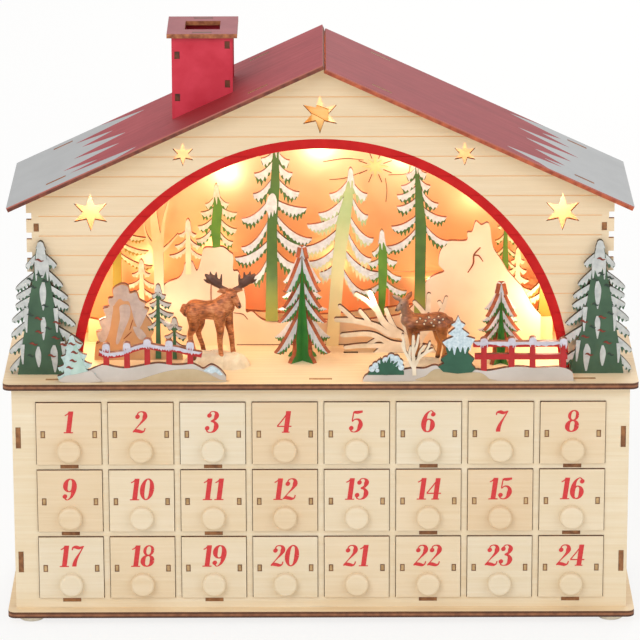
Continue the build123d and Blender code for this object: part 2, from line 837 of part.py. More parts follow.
# Branch bush: thick bare limbs that fork from one foot
bush_shares = (
    ((-0.25, 0), (0.05, 0.35)), ((0.05, 0.35), (-0.12, 1.0)), ((0.02, 0.3), (-0.48, 0.62)),
    ((-0.2, 0.48), (-0.3, 0.82)), ((0.05, 0.35), (0.2, 0.75)), ((-0.3, 0.0), (-0.5, 0.28)),
    ((0.0, 0.0), (0.5, 0.5)), ((0.26, 0.27), (0.42, 0.92)), ((0.4, 0.4), (0.62, 0.95)),
    ((0.45, 0.45), (0.8, 0.75)), ((-0.15, 0.1), (-0.45, 0.12)),
)
bush_spread_share = 0.83
bush_top = deck_top + bush_foot_height
bush_spread = bush_width * bush_spread_share
branch_bush = twigs(bush_offset, bush_top, bush_spread, bush_height, bush_twig_width, bush_shares)
branch_bush += window(bush_offset, deck_top + bush_foot_height / 2, bush_width, bush_foot_height)
bush_tabs = [bush_start + share * bush_width for share in fence_tab_shares]
deck -= scenery("branch_bush", bush_setback, branch_bush, bush_tabs)

# Forest panel: mountains and hills with firs, in shares of the scenery's reach
forest_hill_shares = (
    (-0.92, 0.1), (-0.8, 0.16), (-0.7, 0.2), (-0.64, 0.28), (-0.59, 0.3), (-0.575, 0.35), (-0.54, 0.37),
    (-0.517, 0.33), (-0.488, 0.43), (-0.41, 0.43), (-0.368, 0.385), (-0.365, 0.33), (-0.316, 0.217),
    (-0.308, 0.147), (-0.234, 0.112), (0.2, 0.112), (0.36, 0.13), (0.395, 0.19), (0.44, 0.28),
    (0.517, 0.32), (0.5, 0.386), (0.534, 0.455), (0.61, 0.456), (0.65, 0.54), (0.7, 0.528),
    (0.722, 0.43), (0.78, 0.325), (0.84, 0.246), (0.905, 0.15), (0.92, 0.08),
)
# each fir: place, height, width, trunk width, number of tiers
forest_fir_shares = (
    (-0.2, 0.93, 0.33, 0.07, 7), (-0.434, 0.7, 0.175, 0.045, 4), (0.115, 0.775, 0.275, 0.06, 6),
    (0.4, 0.83, 0.26, 0.05, 7), (0.255, 0.505, 0.155, 0.04, 4), (-0.564, 0.545, 0.14, 0.03, 4),
    (-0.74, 0.36, 0.13, 0.03, 4),
)
bare_tree_share = -0.675
bare_tree_spread_share = 0.0909
bare_tree_height_share = 0.6494
bare_tree_width_share = 0.0422
bare_tree_shares = (
    ((0, 0), (0, 1.0)), ((0, 0.68), (-0.7, 0.86)), ((0, 0.66), (0.9, 0.82)), ((0, 0.8), (0.45, 0.98)),
)
wood_notch_share = 0.4


def skyline(shares):
    """Outline from shares of the scenery's reach, across and up from the middle of the deck."""
    return ridge([(a * scenery_reach, deck_top + b * scenery_reach) for a, b in shares])


def wood(rows):
    """Firs from rows of shares of the scenery's reach."""
    firs = []
    for place, tall, wide, trunk, tiers in rows:
        x, width, height, trunk_width = [share * scenery_reach for share in (place, wide, tall, trunk)]
        firs.append(fir(x, deck_top, width, height, tiers, trunk_width, notch_share=wood_notch_share))
    return firs


forest = skyline(forest_hill_shares) + wood(forest_fir_shares)
bare_tree_spread = bare_tree_spread_share * scenery_reach
bare_tree_height = bare_tree_height_share * scenery_reach
bare_tree_width = bare_tree_width_share * scenery_reach
bare_tree_place = bare_tree_share * scenery_reach
forest += twigs(bare_tree_place, deck_top, bare_tree_spread, bare_tree_height, bare_tree_width,
                bare_tree_shares)
panel_tab_shares = (-0.6, 0.0, 0.6)
forest_tabs = [share * scenery_reach for share in panel_tab_shares]
deck -= scenery("forest_panel", forest_setback, forest, forest_tabs)

# Distant forest: lower hills with firs at both ends
distant_hill_shares = (
    (-0.98, 0.3), (-0.86, 0.34), (-0.74, 0.22), (-0.5, 0.16), (0.0, 0.12), (0.5, 0.2), (0.76, 0.26),
    (0.88, 0.3), (0.98, 0.28),
)
distant_fir_shares = (
    (-0.83, 0.52, 0.2, 0.04, 5), (0.775, 0.6, 0.16, 0.035, 5), (0.84, 0.42, 0.12, 0.03, 4),
    (0.93, 0.36, 0.12, 0.03, 4),
)
distant_forest = skyline(distant_hill_shares) + wood(distant_fir_shares)
deck -= scenery("distant_forest", distant_setback, distant_forest, forest_tabs)

# The deck is whole once every board that stands on it has its slots
node("deck_plate", deck)


def lapped_fir(x, setback, width, height, tiers, trunk_width):
    """Two crossed boards, one slotted from the top and one from below, that stand on the deck."""
    outline = fir(0, deck_top, width, height, tiers, trunk_width)
    board = upright(outline, -scenery_thickness / 2, scenery_thickness)
    slot = scenery_thickness + 2 * fit_clearance
    half = Box(slot, 2 * slot, height + cut_overrun, align=(Align.CENTER, Align.CENTER, Align.MIN))
    middle = deck_top + height / 2
    from_top = board - Pos(0, 0, middle - fit_clearance) * half
    from_below = board - Pos(0, 0, middle + fit_clearance - height - cut_overrun) * half
    place = Pos(x, plate_front + setback, 0)
    return place * Rot(0, 0, lap_turn_degrees) * from_top, place * Rot(0, 0, -lap_turn_degrees) * from_below


centre_tree = lapped_fir(-centre_tree_offset, centre_tree_setback, centre_tree_width, centre_tree_height,
                         small_fir_tiers, centre_trunk)
right_tree = lapped_fir(right_tree_offset, right_tree_setback, right_tree_width, right_tree_height,
                        small_fir_tiers, right_trunk)
node("centre_tree", *centre_tree)
node("right_tree", *right_tree)

# Deer: torso, neck, head, legs, ears and, on the stag, antlers, in shares of length, height and girth
torso_shares = ((-0.44, 0.53), (0.12, 0.55))
neck_shares = ((0.06, 0.54), (0.31, 0.76))
head_shares = ((0.26, 0.77), (0.47, 0.68))
leg_shares = (-0.41, -0.31, 0.03, 0.14)
leg_top_share = 0.5
side_share = 0.05
ear_shares = ((0.27, 0.77), (0.15, 0.83))
antler_shares = (((0.28, 0.78), (0.1, 0.88)), ((0.12, 0.87), (-0.03, 0.99)), ((0.13, 0.865), (0.16, 1.0)),
                 ((0.2, 0.825), (0.33, 0.95)))
antler_spread_share = 0.16
girth_share = 0.11
# radii at the two ends of each kind of limb, as shares of the girth
torso_radius_shares = (0.95, 1.15)
neck_radius_shares = (0.8, 0.5)
head_radius_shares = (0.56, 0.3)
leg_radius_shares = (0.24, 0.46)
ear_radius_shares = (0.26, 0.1)
antler_radius_shares = (0.26, 0.13)


def limb(start, end, radii):
    """Tapered round limb between two points."""
    run = Vector(*end) - Vector(*start)
    cone = Cone(*radii, run.length, align=(Align.CENTER, Align.CENTER, Align.MIN))
    return Plane(origin=start, z_dir=run.normalized()) * cone


def deer(x, setback, height, length, facing, antlers):
    """Standing deer on a snow mound, looking along X."""
    y = plate_front + setback
    girth = girth_share * height
    poll = antler_shares[0][0][1]

    def at(along, up, side=0.0):
        return (x + facing * along * length, y + side * height, deck_top + up * height)

    def radii(shares):
        return [share * girth for share in shares]

    limbs = [
        limb(at(*torso_shares[0]), at(*torso_shares[1]), radii(torso_radius_shares)),
        limb(at(*neck_shares[0]), at(*neck_shares[1]), radii(neck_radius_shares)),
        limb(at(*head_shares[0]), at(*head_shares[1]), radii(head_radius_shares)),
    ]
    for i, along in enumerate(leg_shares):
        side = side_share * (-1) ** i
        hoof = at(along, mound_height / 2 / height, side)
        limbs.append(limb(hoof, at(along, leg_top_share, side), radii(leg_radius_shares)))
    for side in (-1, 1):
        tip = at(*ear_shares[1], side * side_share)
        limbs.append(limb(at(*ear_shares[0]), tip, radii(ear_radius_shares)))
        for ends in antlers:
            start, end = [at(a, u, side * antler_spread_share * (u - poll) / (1 - poll)) for a, u in ends]
            limbs.append(limb(start, end, radii(antler_radius_shares)))
    mound_outline = Ellipse(mound_width / 2, mound_depth / 2)
    mound = Pos(x, y, deck_top) * extrude(mound_outline, amount=mound_height, taper=mound_taper_degrees)
    return mound + limbs


node("stag", deer(-stag_offset, stag_setback, stag_height, stag_length, 1, antler_shares))
node("doe", deer(doe_offset, doe_setback, doe_height, doe_length, -1, ()))

# Light strip behind the arch, with its bulbs looking inwards
strip_inner = arch_radius + strip_gap
strip_ring = Circle(strip_inner + strip_thickness) - Circle(strip_inner)
strip_foot = strip_inner * cos(radians(strip_half_angle))
below_strip = window(0, strip_foot - plate_width / 2, plate_width, plate_width)
led_strip = Pos(0, arch_centre) * (strip_ring - below_strip)
node("led_strip", upright(led_strip, wall_inner_front, strip_width))
bulb_straight = bulb_length - bulb_diameter / 2


def bulb(angle):
    """Round-ended bulb that stands on the strip's inner face and points to the arch's centre."""
    turn = radians(angle)
    inwards = (-sin(turn), 0, -cos(turn))
    seat = strip_inner - bulb_seat
    place = (seat * sin(turn), wall_inner_front + strip_width / 2, arch_centre + seat * cos(turn))
    body = Cylinder(bulb_diameter / 2, bulb_straight, align=(Align.CENTER, Align.CENTER, Align.MIN))
    body += Pos(0, 0, bulb_straight) * Sphere(bulb_diameter / 2)
    return Plane(origin=place, z_dir=inwards) * body


node("led_bulbs", *[bulb(angle) for angle in bulb_angles])

# Battery box in the back wall: a tray for two cells, a switch bay, and rails that hold the sliding cover
case_start = battery_offset - case_length / 2
case_end = battery_offset + case_length / 2
case_high = case_low + case_height
case_inside = wall_back_face - case_depth
bay_start = case_start + 2 * case_wall + pack_length
cover_low = wall_back_face + run_clearance
cover_high = cover_low + cover_thickness
hook_low = cover_high + run_clearance
hook_high = hook_low + rail_lip
case = block((case_start, case_inside, case_low), (case_end, wall_back_face, case_high))
case -= block(
    (case_start + case_wall, case_inside + case_wall, case_low + case_wall),
    (case_start + case_wall + pack_length, wall_back_face + cut_overrun, case_high - case_wall),
)
case -= block(
    (bay_start, case_inside - cut_overrun, case_low + case_wall),
    (case_end - case_wall, wall_back_face - case_wall, case_high - case_wall),
)
for edge, inwards in ((case_low, 1), (case_high, -1)):
    for reach, low in ((rail_lip, wall_back_face), (2 * rail_lip, hook_low)):
        levels = sorted((edge, edge + inwards * reach))
        case += block((case_start, low, levels[0]), (bay_start, hook_high, levels[1]))
switch_x = (bay_start + case_end - case_wall) / 2
switch_stem = switch_width / 2
switch_slot_height = switch_length + switch_travel + 2 * run_clearance
case -= block(
    (switch_x - switch_stem / 2 - run_clearance, wall_back_face - case_wall - cut_overrun,
     case_middle - switch_slot_height / 2),
    (switch_x + switch_stem / 2 + run_clearance, wall_back_face + cut_overrun,
     case_middle + switch_slot_height / 2),
)
node("battery_box", case)
cover = block(
    (case_start, cover_low, case_low + rail_lip + run_clearance),
    (bay_start - run_clearance, cover_high, case_high - rail_lip - run_clearance),
)
node("battery_cover", cover)


def cell(level):
    """Round cell lying along X, with its raised contact at one end."""
    nub_length = cell_length * cell_nub_share
    on_end = (Align.CENTER, Align.CENTER, Align.MIN)
    body = Cylinder(cell_diameter / 2, cell_length - nub_length, align=on_end)
    nub = Cylinder(cell_diameter * cell_nub_width_share / 2, cell_length, align=on_end)
    middle = case_inside + case_wall + cell_room + cell_diameter / 2
    start = case_start + case_wall + cell_room
    return Plane(origin=(start, middle, level), z_dir=(1, 0, 0)) * (body + nub)


cell_first = case_low + case_wall + cell_room + cell_diameter / 2
node("battery_cells", *[cell(cell_first + i * (cell_diameter + cell_room)) for i in range(cell_count)])

# Switch knob: a cap outside the bay on a stem through its slot
switch_low = case_middle - switch_travel / 2 - switch_length / 2
switch_high = switch_low + switch_length
switch_cap = block(
    (switch_x - switch_width / 2, cover_low, switch_low),
    (switch_x + switch_width / 2, cover_low + switch_proud, switch_high),
)
switch_foot = block(
    (switch_x - switch_stem / 2, wall_back_face - case_wall - run_clearance, switch_low),
    (switch_x + switch_stem / 2, cover_low, switch_high),
)
node("switch_knob", switch_cap + switch_foot)
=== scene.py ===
import bpy
import numpy as np
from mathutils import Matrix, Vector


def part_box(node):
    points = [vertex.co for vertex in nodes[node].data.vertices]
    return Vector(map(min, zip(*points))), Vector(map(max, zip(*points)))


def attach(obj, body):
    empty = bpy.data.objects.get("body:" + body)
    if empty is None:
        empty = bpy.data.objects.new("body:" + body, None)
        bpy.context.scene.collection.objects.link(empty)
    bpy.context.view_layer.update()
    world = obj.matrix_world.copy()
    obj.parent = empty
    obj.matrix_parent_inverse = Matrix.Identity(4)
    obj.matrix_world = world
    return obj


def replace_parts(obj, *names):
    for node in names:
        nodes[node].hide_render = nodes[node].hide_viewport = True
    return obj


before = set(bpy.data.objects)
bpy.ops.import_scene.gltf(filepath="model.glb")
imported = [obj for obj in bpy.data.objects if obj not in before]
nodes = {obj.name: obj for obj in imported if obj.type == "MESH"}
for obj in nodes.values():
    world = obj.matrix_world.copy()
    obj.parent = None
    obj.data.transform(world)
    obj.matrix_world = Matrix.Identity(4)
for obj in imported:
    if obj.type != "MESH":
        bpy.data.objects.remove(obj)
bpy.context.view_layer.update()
mm = 0.001

# Studio: a wide pale floor under a white sky, one broad soft lamp from the upper left, weaker ones from the right
# and from behind, and a long lens in front of the middle that looks down on the object at a slant.


def linear(code):
    """Linear red, green, blue and alpha of an sRGB hex colour, by the sRGB curve."""
    share = np.array([int(code[i:i + 2], 16) for i in (1, 3, 5)]) / 255
    low, high = share / 12.92, ((share + 0.055) / 1.055) ** 2.4
    return (*np.where(share <= 0.04045, low, high).tolist(), 1.0)


def begin(owner):
    """Takes a material or a world in hand: the nodes that are added next go to it."""
    global in_hand
    in_hand = owner
    owner.use_nodes = True
    return owner


def add(kind, links=(), stops=(), **settings):
    """Adds one shader node to what is in hand and returns its outputs. Settings are the node's own values, links
    join its inputs to plain values or to other nodes' outputs, and stops fill a ramp with colours or levels."""
    tree = in_hand.node_tree
    node = tree.nodes.new("ShaderNode" + kind)
    for key, value in settings.items():
        setattr(node, key, value)
    for key, value in dict(links).items():
        if isinstance(value, bpy.types.NodeSocket):
            tree.links.new(value, node.inputs[key])
        else:
            node.inputs[key].default_value = value
    if stops:
        marks = node.color_ramp.elements
        while len(marks) < len(stops):
            marks.new(1.0)
        for mark, (place, code) in zip(marks, stops):
            mark.position = place
            mark.color = linear(code) if isinstance(code, str) else (code, code, code, 1.0)
    return node.outputs


def seen():
    """Level that is 1 where the camera, a gloss or a clear piece looks at the surface, and 0 where it gives light."""
    ray = add("LightPath")
    level = add("Math", {0: ray["Is Camera Ray"], 1: ray["Is Glossy Ray"]}, operation="MAXIMUM")[0]
    return add("Math", {0: level, 1: ray["Is Transmission Ray"]}, operation="MAXIMUM")[0]


def put(name, data, place=(0, 0, 0), turn=(0, 0, 0)):
    """Puts a mesh, a lamp or a camera into the scene."""
    made = bpy.data.objects.new(name, data)
    made.location, made.rotation_euler = place, turn
    scene.collection.objects.link(made)
    return made


scene = bpy.context.scene
scene.view_settings.view_transform = "Standard"
sky_level, sky_seen = 0.62, 1.0
scene.world = begin(bpy.data.worlds.new("white_studio"))
scene.world.node_tree.nodes.clear()
level = add("Mix", {0: seen(), 2: sky_level, 3: sky_seen})[0]
glow = add("Background", {"Color": linear("#FFFFFF"), "Strength": level})[0]
add("OutputWorld", {"Surface": glow})

floor_reach, floor_white = 6.0, 0.8
floor_mesh = bpy.data.meshes.new("floor")
corners = np.array([(-1, -1, 0), (1, -1, 0), (1, 1, 0), (-1, 1, 0)]) * floor_reach
floor_mesh.from_pydata(corners.tolist(), [], [(0, 1, 2, 3)])
floor_mesh.materials.append(begin(bpy.data.materials.new("white_floor_paint")))
in_hand.node_tree.nodes.clear()
lift = add("Math", {0: seen(), 1: floor_white}, operation="MULTIPLY")[0]
matt = add("BsdfDiffuse", {"Color": linear("#F4F2EE")})[0]
white = add("Emission", {"Color": linear("#FFFFFF"), "Strength": 1.0})[0]
mixed = add("MixShader", {0: lift, 1: matt, 2: white})[0]
add("OutputMaterial", {"Surface": mixed})
floor = put("floor", floor_mesh)

aim_height = 0.15
# each lamp: place, size, power in watts
for name, place, size, power in (
    ("key_lamp", (-1.1, -1.9, 1.7), 1.6, 26.0),
    ("fill_lamp", (1.6, -1.5, 1.0), 1.4, 9.0),
    ("back_lamp", (0.4, 1.8, 1.4), 1.4, 14.0),
):
    lamp = bpy.data.lights.new(name, "AREA")
    lamp.size, lamp.energy = size, power
    aim = np.array((0, 0, aim_height)) - np.array(place)
    pitch = np.arctan2(np.hypot(aim[0], aim[1]), -aim[2])
    put(name, lamp, place, (pitch, 0, np.arctan2(-aim[0], aim[1])))

view = bpy.data.cameras.new("view")
view.lens, view.sensor_width, view.clip_end = 247.5, 36.0, 50.0
tilt, roll = np.radians(17.5), 0.0025
slant = (np.pi / 2 - tilt, roll * np.cos(tilt), -roll * np.sin(tilt))
scene.camera = put("view", view, (-0.0003, -2.6820, 1.0309), slant)

# Drawer box: three-ply birch board, sanded and left bare, cut by laser, so that every cut edge is scorched brown.
# Tabs in slots and glue hold the boards together.
face_limit = 0.75


def finish(colour, roughness, height=None, depth=0.0002):
    """Joins a colour and a height to the shader of the material in hand, the height as bump of that depth in
    metres, sets its roughness and returns the material."""
    shader = in_hand.node_tree.nodes["Principled BSDF"]
    join = in_hand.node_tree.links.new
    join(colour, shader.inputs["Base Color"])
    shader.inputs["Roughness"].default_value = roughness
    if height is not None:
        join(add("Bump", {"Height": height, "Distance": depth, "Strength": 0.6})[0], shader.inputs["Normal"])
    return in_hand


def new_material(name):
    """Takes a new material in hand and returns its coordinates."""
    begin(bpy.data.materials.new(name))
    return add("TexCoord")


def cut_board(coords, facing, face, edge):
    """Colour of a cut board: its face's colour, and its edge's where the surface leans away from the facing."""
    lean = add("VectorMath", {0: coords["Normal"], 1: facing}, operation="DOT_PRODUCT")["Value"]
    lean = add("Math", {0: lean}, operation="ABSOLUTE")[0]
    edges = add("Math", {0: lean, 1: face_limit}, operation="LESS_THAN")[0]
    return add("Mix", {0: edges, 6: face, 7: edge}, data_type="RGBA")[2]


def scorched(coords, dark="#5E3419", light="#9A6238"):
    """Colour of a scorched cut edge, mottled every few millimetres."""
    spots_per_metre = 260.0
    mottle = add("TexNoise", {"Vector": coords["Object"], "Scale": spots_per_metre, "Detail": 3.0})["Fac"]
    return add("ValToRGB", {0: mottle}, stops=((0.32, dark), (0.7, light)))[0]


def grain(coords, along, pale, deep):
    """Birch colour and its pore height: noise drawn out along the grain, 2 mm wide and 80 mm long, over slow
    patches 60 mm across; the pores are 0.5 mm wide, drawn coarser than real ones so that they show."""
    stretch = np.array([1 / (80 * mm) if axis == along else 1 / (2.0 * mm) for axis in "XYZ"])
    at = add("Mapping", {"Vector": coords["Object"], "Scale": stretch})[0]
    streak = add("TexNoise", {"Vector": at, "Scale": 1.0, "Detail": 4.0, "Roughness": 0.6})["Fac"]
    patch = add("TexNoise", {"Vector": coords["Object"], "Scale": 1 / (60 * mm), "Detail": 2.0})["Fac"]
    both = add("Mix", {0: 0.42, 2: streak, 3: patch})[0]
    colour = add("ValToRGB", {0: both}, stops=((0.34, pale), (0.7, deep)))[0]
    fine = add("Mapping", {"Vector": at, "Scale": (4.0, 4.0, 4.0)})[0]
    return colour, add("TexNoise", {"Vector": fine, "Scale": 1.0, "Detail": 2.0})["Fac"]


def bare_birch(name, facing, along="X", pale="#EDDFC4", deep="#E2CCA6", dark="#6E4222", light="#A06C40"):
    """Bare birch board with scorched edges, for a board that faces one way."""
    coords = new_material(name)
    face, pores = grain(coords, along, pale, deep)
    return finish(cut_board(coords, facing, face, scorched(coords, dark, light)), roughness=0.62, height=pores)


def dress(material, *names):
    """Gives CAD nodes a material."""
    for name in names:
        nodes[name].data.materials.clear()
        nodes[name].data.materials.append(material)


side_birch = bare_birch("birch_facing_side", (1, 0, 0), along="Y")
# The box front's cut edges round the drawer windows take a paler scorch than the other boards': painted light that
# softens the shaded gaps round the drawers.
dress(bare_birch("birch_box_front_painted_lit_edges", (0, 1, 0), dark="#94683C", light="#BE9462"), "box_front")
dress(bare_birch("birch_facing_front", (0, 1, 0)), "box_back")
dress(side_birch, "box_left", "box_right", "drawer_dividers")
dress(bare_birch("birch_shelves", (0, 0, 1)), "drawer_shelves")

# Plates: base and deck of the same birch, cut with rounded corners. Their edges show the plies: scorched face plies
# with a paler cross ply between them.
low, deck_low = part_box("base_plate")[0].z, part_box("deck_plate")[0].z
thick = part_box("base_plate")[1].z - low
deck_front, deck_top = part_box("deck_plate")[0].y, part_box("deck_plate")[1].z / mm
coords = new_material("birch_plates")
face, pores = grain(coords, "X", "#F2DDBA", "#E2C398")
height = add("SeparateXYZ", {0: coords["Object"]})["Z"]
upper = add("Math", {0: height, 1: (low + deck_low) / 2}, operation="GREATER_THAN")[0]
rise = add("Math", {0: upper, 1: low - deck_low, 2: height}, operation="MULTIPLY_ADD")[0]
share = add("MapRange", {"Value": rise, "From Min": low, "From Max": low + thick})[0]
plies = add("ValToRGB", {0: share}, stops=(
    (0.0, "#41230F"), (0.26, "#5C341A"), (0.34, "#986240"), (0.6, "#A46C48"), (0.68, "#5C341A"), (0.93, "#70441F"),
))[0]
mottle = scorched(coords, "#8A6038", "#FFFFFF")
plies = add("Mix", {0: 0.55, 6: plies, 7: mottle}, data_type="RGBA", blend_type="MULTIPLY")[2]
dress(finish(cut_board(coords, (0, 0, 1), face, plies), roughness=0.6, height=pores), "base_plate", "deck_plate")

# Feet: round pads of milky silicone, moulded with a soft gloss and stuck under the base plate's corners, so that the
# calendar doesn't slide.


def mottled(name, hues, size, detail=2.0, high=0.7):
    """Takes a new material in hand whose colour drifts between two hues over a size in millimetres, and returns its
    coordinates, the drift and the colour."""
    coords = new_material(name)
    drift = add("TexNoise", {"Vector": coords["Object"], "Scale": 1 / (size * mm), "Detail": detail})["Fac"]
    return coords, drift, add("ValToRGB", {0: drift}, stops=((0.3, hues[0]), (high, hues[1])))[0]


_, _, colour = mottled("milky_silicone", ("#F4EFE2", "#E7DFCB"), size=6, high=0.75)
dress(finish(colour, roughness=0.42), "feet")

# Drawers: thin birch boxes, each cut from another sheet, so their tints differ. The front's cut edges, the
# tabs' ends that show in it and the top edges of the sides are scorched; the front's side and lower edges take
# a paler scorch than its top edge, as painted light that softens the shaded gaps beside each drawer. A
# turned button is glued on.
column_pitch, row_pitch = 45.5 * mm, 45.1 * mm
tab_out, tab_up, side_top = 16.4 * mm, 20.2 * mm, 34.0 * mm
knob_proud, front_thick = 5.0 * mm, 3.0 * mm
drawer_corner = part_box("drawer_17")[0]
front_face = drawer_corner.y + knob_proud
front_middle = front_face + front_thick / 2
coords = new_material("birch_drawers")
x, y, z = add("SeparateXYZ", {0: coords["Object"]})
_, ny, nz = add("SeparateXYZ", {0: coords["Normal"]})
column = add("Math", {0: x, 1: column_pitch}, operation="DIVIDE")[0]
row = add("Math", {0: z, 1: drawer_corner.z}, operation="SUBTRACT")[0]
row = add("Math", {0: row, 1: row_pitch}, operation="DIVIDE")[0]
cell = add("CombineXYZ", {"X": add("Math", {0: column}, operation="FLOOR")[0],
                          "Y": add("Math", {0: row}, operation="FLOOR")[0]})[0]
lot = add("TexWhiteNoise", {"Vector": cell})
shift = add("VectorMath", {0: lot["Color"], 1: (0.4, 0.4, 0.4)}, operation="MULTIPLY")[0]
shifted = add("VectorMath", {0: coords["Object"], 1: shift}, operation="ADD")[0]
face, pores = grain({"Object": shifted}, "X", "#E9DEC8", "#E0D0B1")
tint = add("ValToRGB", {0: lot["Value"]}, stops=((0.0, "#FFFFFF"), (0.5, "#FFF8EE"), (1.0, "#FCEEDF")))[0]
face = add("Mix", {0: 1.0, 6: face, 7: tint}, data_type="RGBA", blend_type="MULTIPLY")[2]
across = add("Math", {0: column}, operation="FRACT")[0]
across = add("Math", {0: across, 1: 0.5}, operation="SUBTRACT")[0]
across = add("Math", {0: across}, operation="ABSOLUTE")[0]
up = add("Math", {0: row}, operation="FRACT")[0]


def tab_end(half_wide, half_tall):
    """Level that is 1 within half a width and half a height, in millimetres, of the middle of a tab's end."""
    wide = add("Math", {0: across, 1: tab_out / column_pitch, 2: half_wide * mm / column_pitch},
               operation="COMPARE")[0]
    tall = add("Math", {0: up, 1: tab_up / row_pitch, 2: half_tall * mm / row_pitch}, operation="COMPARE")[0]
    return add("Math", {0: wide, 1: tall}, operation="MULTIPLY")[0]


in_front = add("Math", {0: y, 1: front_middle, 2: front_thick / 2 + 0.05 * mm}, operation="COMPARE")[0]
flank = add("Math", {0: ny}, operation="ABSOLUTE")[0]
flank = add("Math", {0: flank, 1: 0.5}, operation="LESS_THAN")[0]
marked = add("Math", {0: flank, 1: tab_end(1.45, 2.35)}, operation="MAXIMUM")[0]
marked = add("Math", {0: marked, 1: in_front}, operation="MULTIPLY")[0]
rim = add("Math", {0: up, 1: side_top / row_pitch, 2: 0.2 * mm / row_pitch}, operation="COMPARE")[0]
rim = add("Math", {0: rim, 1: nz}, operation="MULTIPLY", use_clamp=True)[0]
marked = add("Math", {0: marked, 1: rim}, operation="MAXIMUM")[0]
upward = add("Math", {0: nz, 1: 0.5}, operation="GREATER_THAN")[0]
# Painted light: the front's side and lower cut edges take a paler scorch than its top edge, to lighten the shaded
# gaps.
sides_painted_lit = add("Math", {0: flank, 1: upward}, operation="SUBTRACT", use_clamp=True)[0]
lighter = add("Math", {0: tab_end(0.85, 1.75), 1: sides_painted_lit}, operation="MAXIMUM")[0]
burnt, warm = scorched(coords, "#5A3218", "#8A562B"), scorched(coords, "#A98658", "#C9A97A")
burnt = add("Mix", {0: lighter, 6: burnt, 7: warm}, data_type="RGBA")[2]
colour = add("Mix", {0: marked, 6: face, 7: burnt}, data_type="RGBA")[2]
dress(finish(colour, roughness=0.6, height=pores), *[f"drawer_{i:02d}" for i in range(1, 25)])

# Drawer numbers: the numerals 1 to 24 printed in red ink, slanted, with full stems and hairlines that end in
# round drops. Each number is a thin film of ink on its drawer's front.


def smooth(points, steps=12):
    """Curve through rows of numbers: between two rows a cubic whose slope at each row is half the step from the
    row before it to the row after it."""
    points = np.asarray(points, float)
    padded = np.vstack((2 * points[0] - points[1], points, 2 * points[-1] - points[-2]))
    t = np.linspace(0, 1, steps, endpoint=False)[None, :, None]
    a, b, c, d = (padded[i:len(points) - 1 + i, None, :] for i in range(4))
    line = 0.5 * (2 * b + (c - a) * t + (2 * a - 5 * b + 4 * c - d) * t ** 2 + (3 * b - a - 3 * c + d) * t ** 3)
    return np.vstack((line.reshape(-1, points.shape[1]), points[-1:]))


def ribbon(points, steps=12):
    """Stroke outline: a smooth line through points of x, height and width, carried out by half its width to both
    sides, at right angles to its run."""
    line = smooth(points, steps)
    run = np.gradient(line[:, :2], axis=0)
    run /= np.linalg.norm(run, axis=1, keepdims=True) + 1e-12
    side = np.column_stack((-run[:, 1], run[:, 0])) * line[:, 2:] / 2
    return np.vstack((line[:, :2] - side, (line[:, :2] + side)[::-1]))


def disc(x, z, radius, count=20):
    """Round drop: points at even angles about a middle."""
    turn = np.linspace(0, 2 * np.pi, count, endpoint=False)
    return np.column_stack((x + radius * np.cos(turn), z + radius * np.sin(turn)))


def bowl(x, z, wide, tall, thick, thin, start=0.0, end=360.0, count=12):
    """Points round an oval with their stroke widths: thick at the sides and thin at the top and bottom."""
    turn = np.radians(np.linspace(start, end, count))
    return np.column_stack((x + wide * np.cos(turn), z + tall * np.sin(turn),
                            thin + (thick - thin) * np.cos(turn) ** 2))


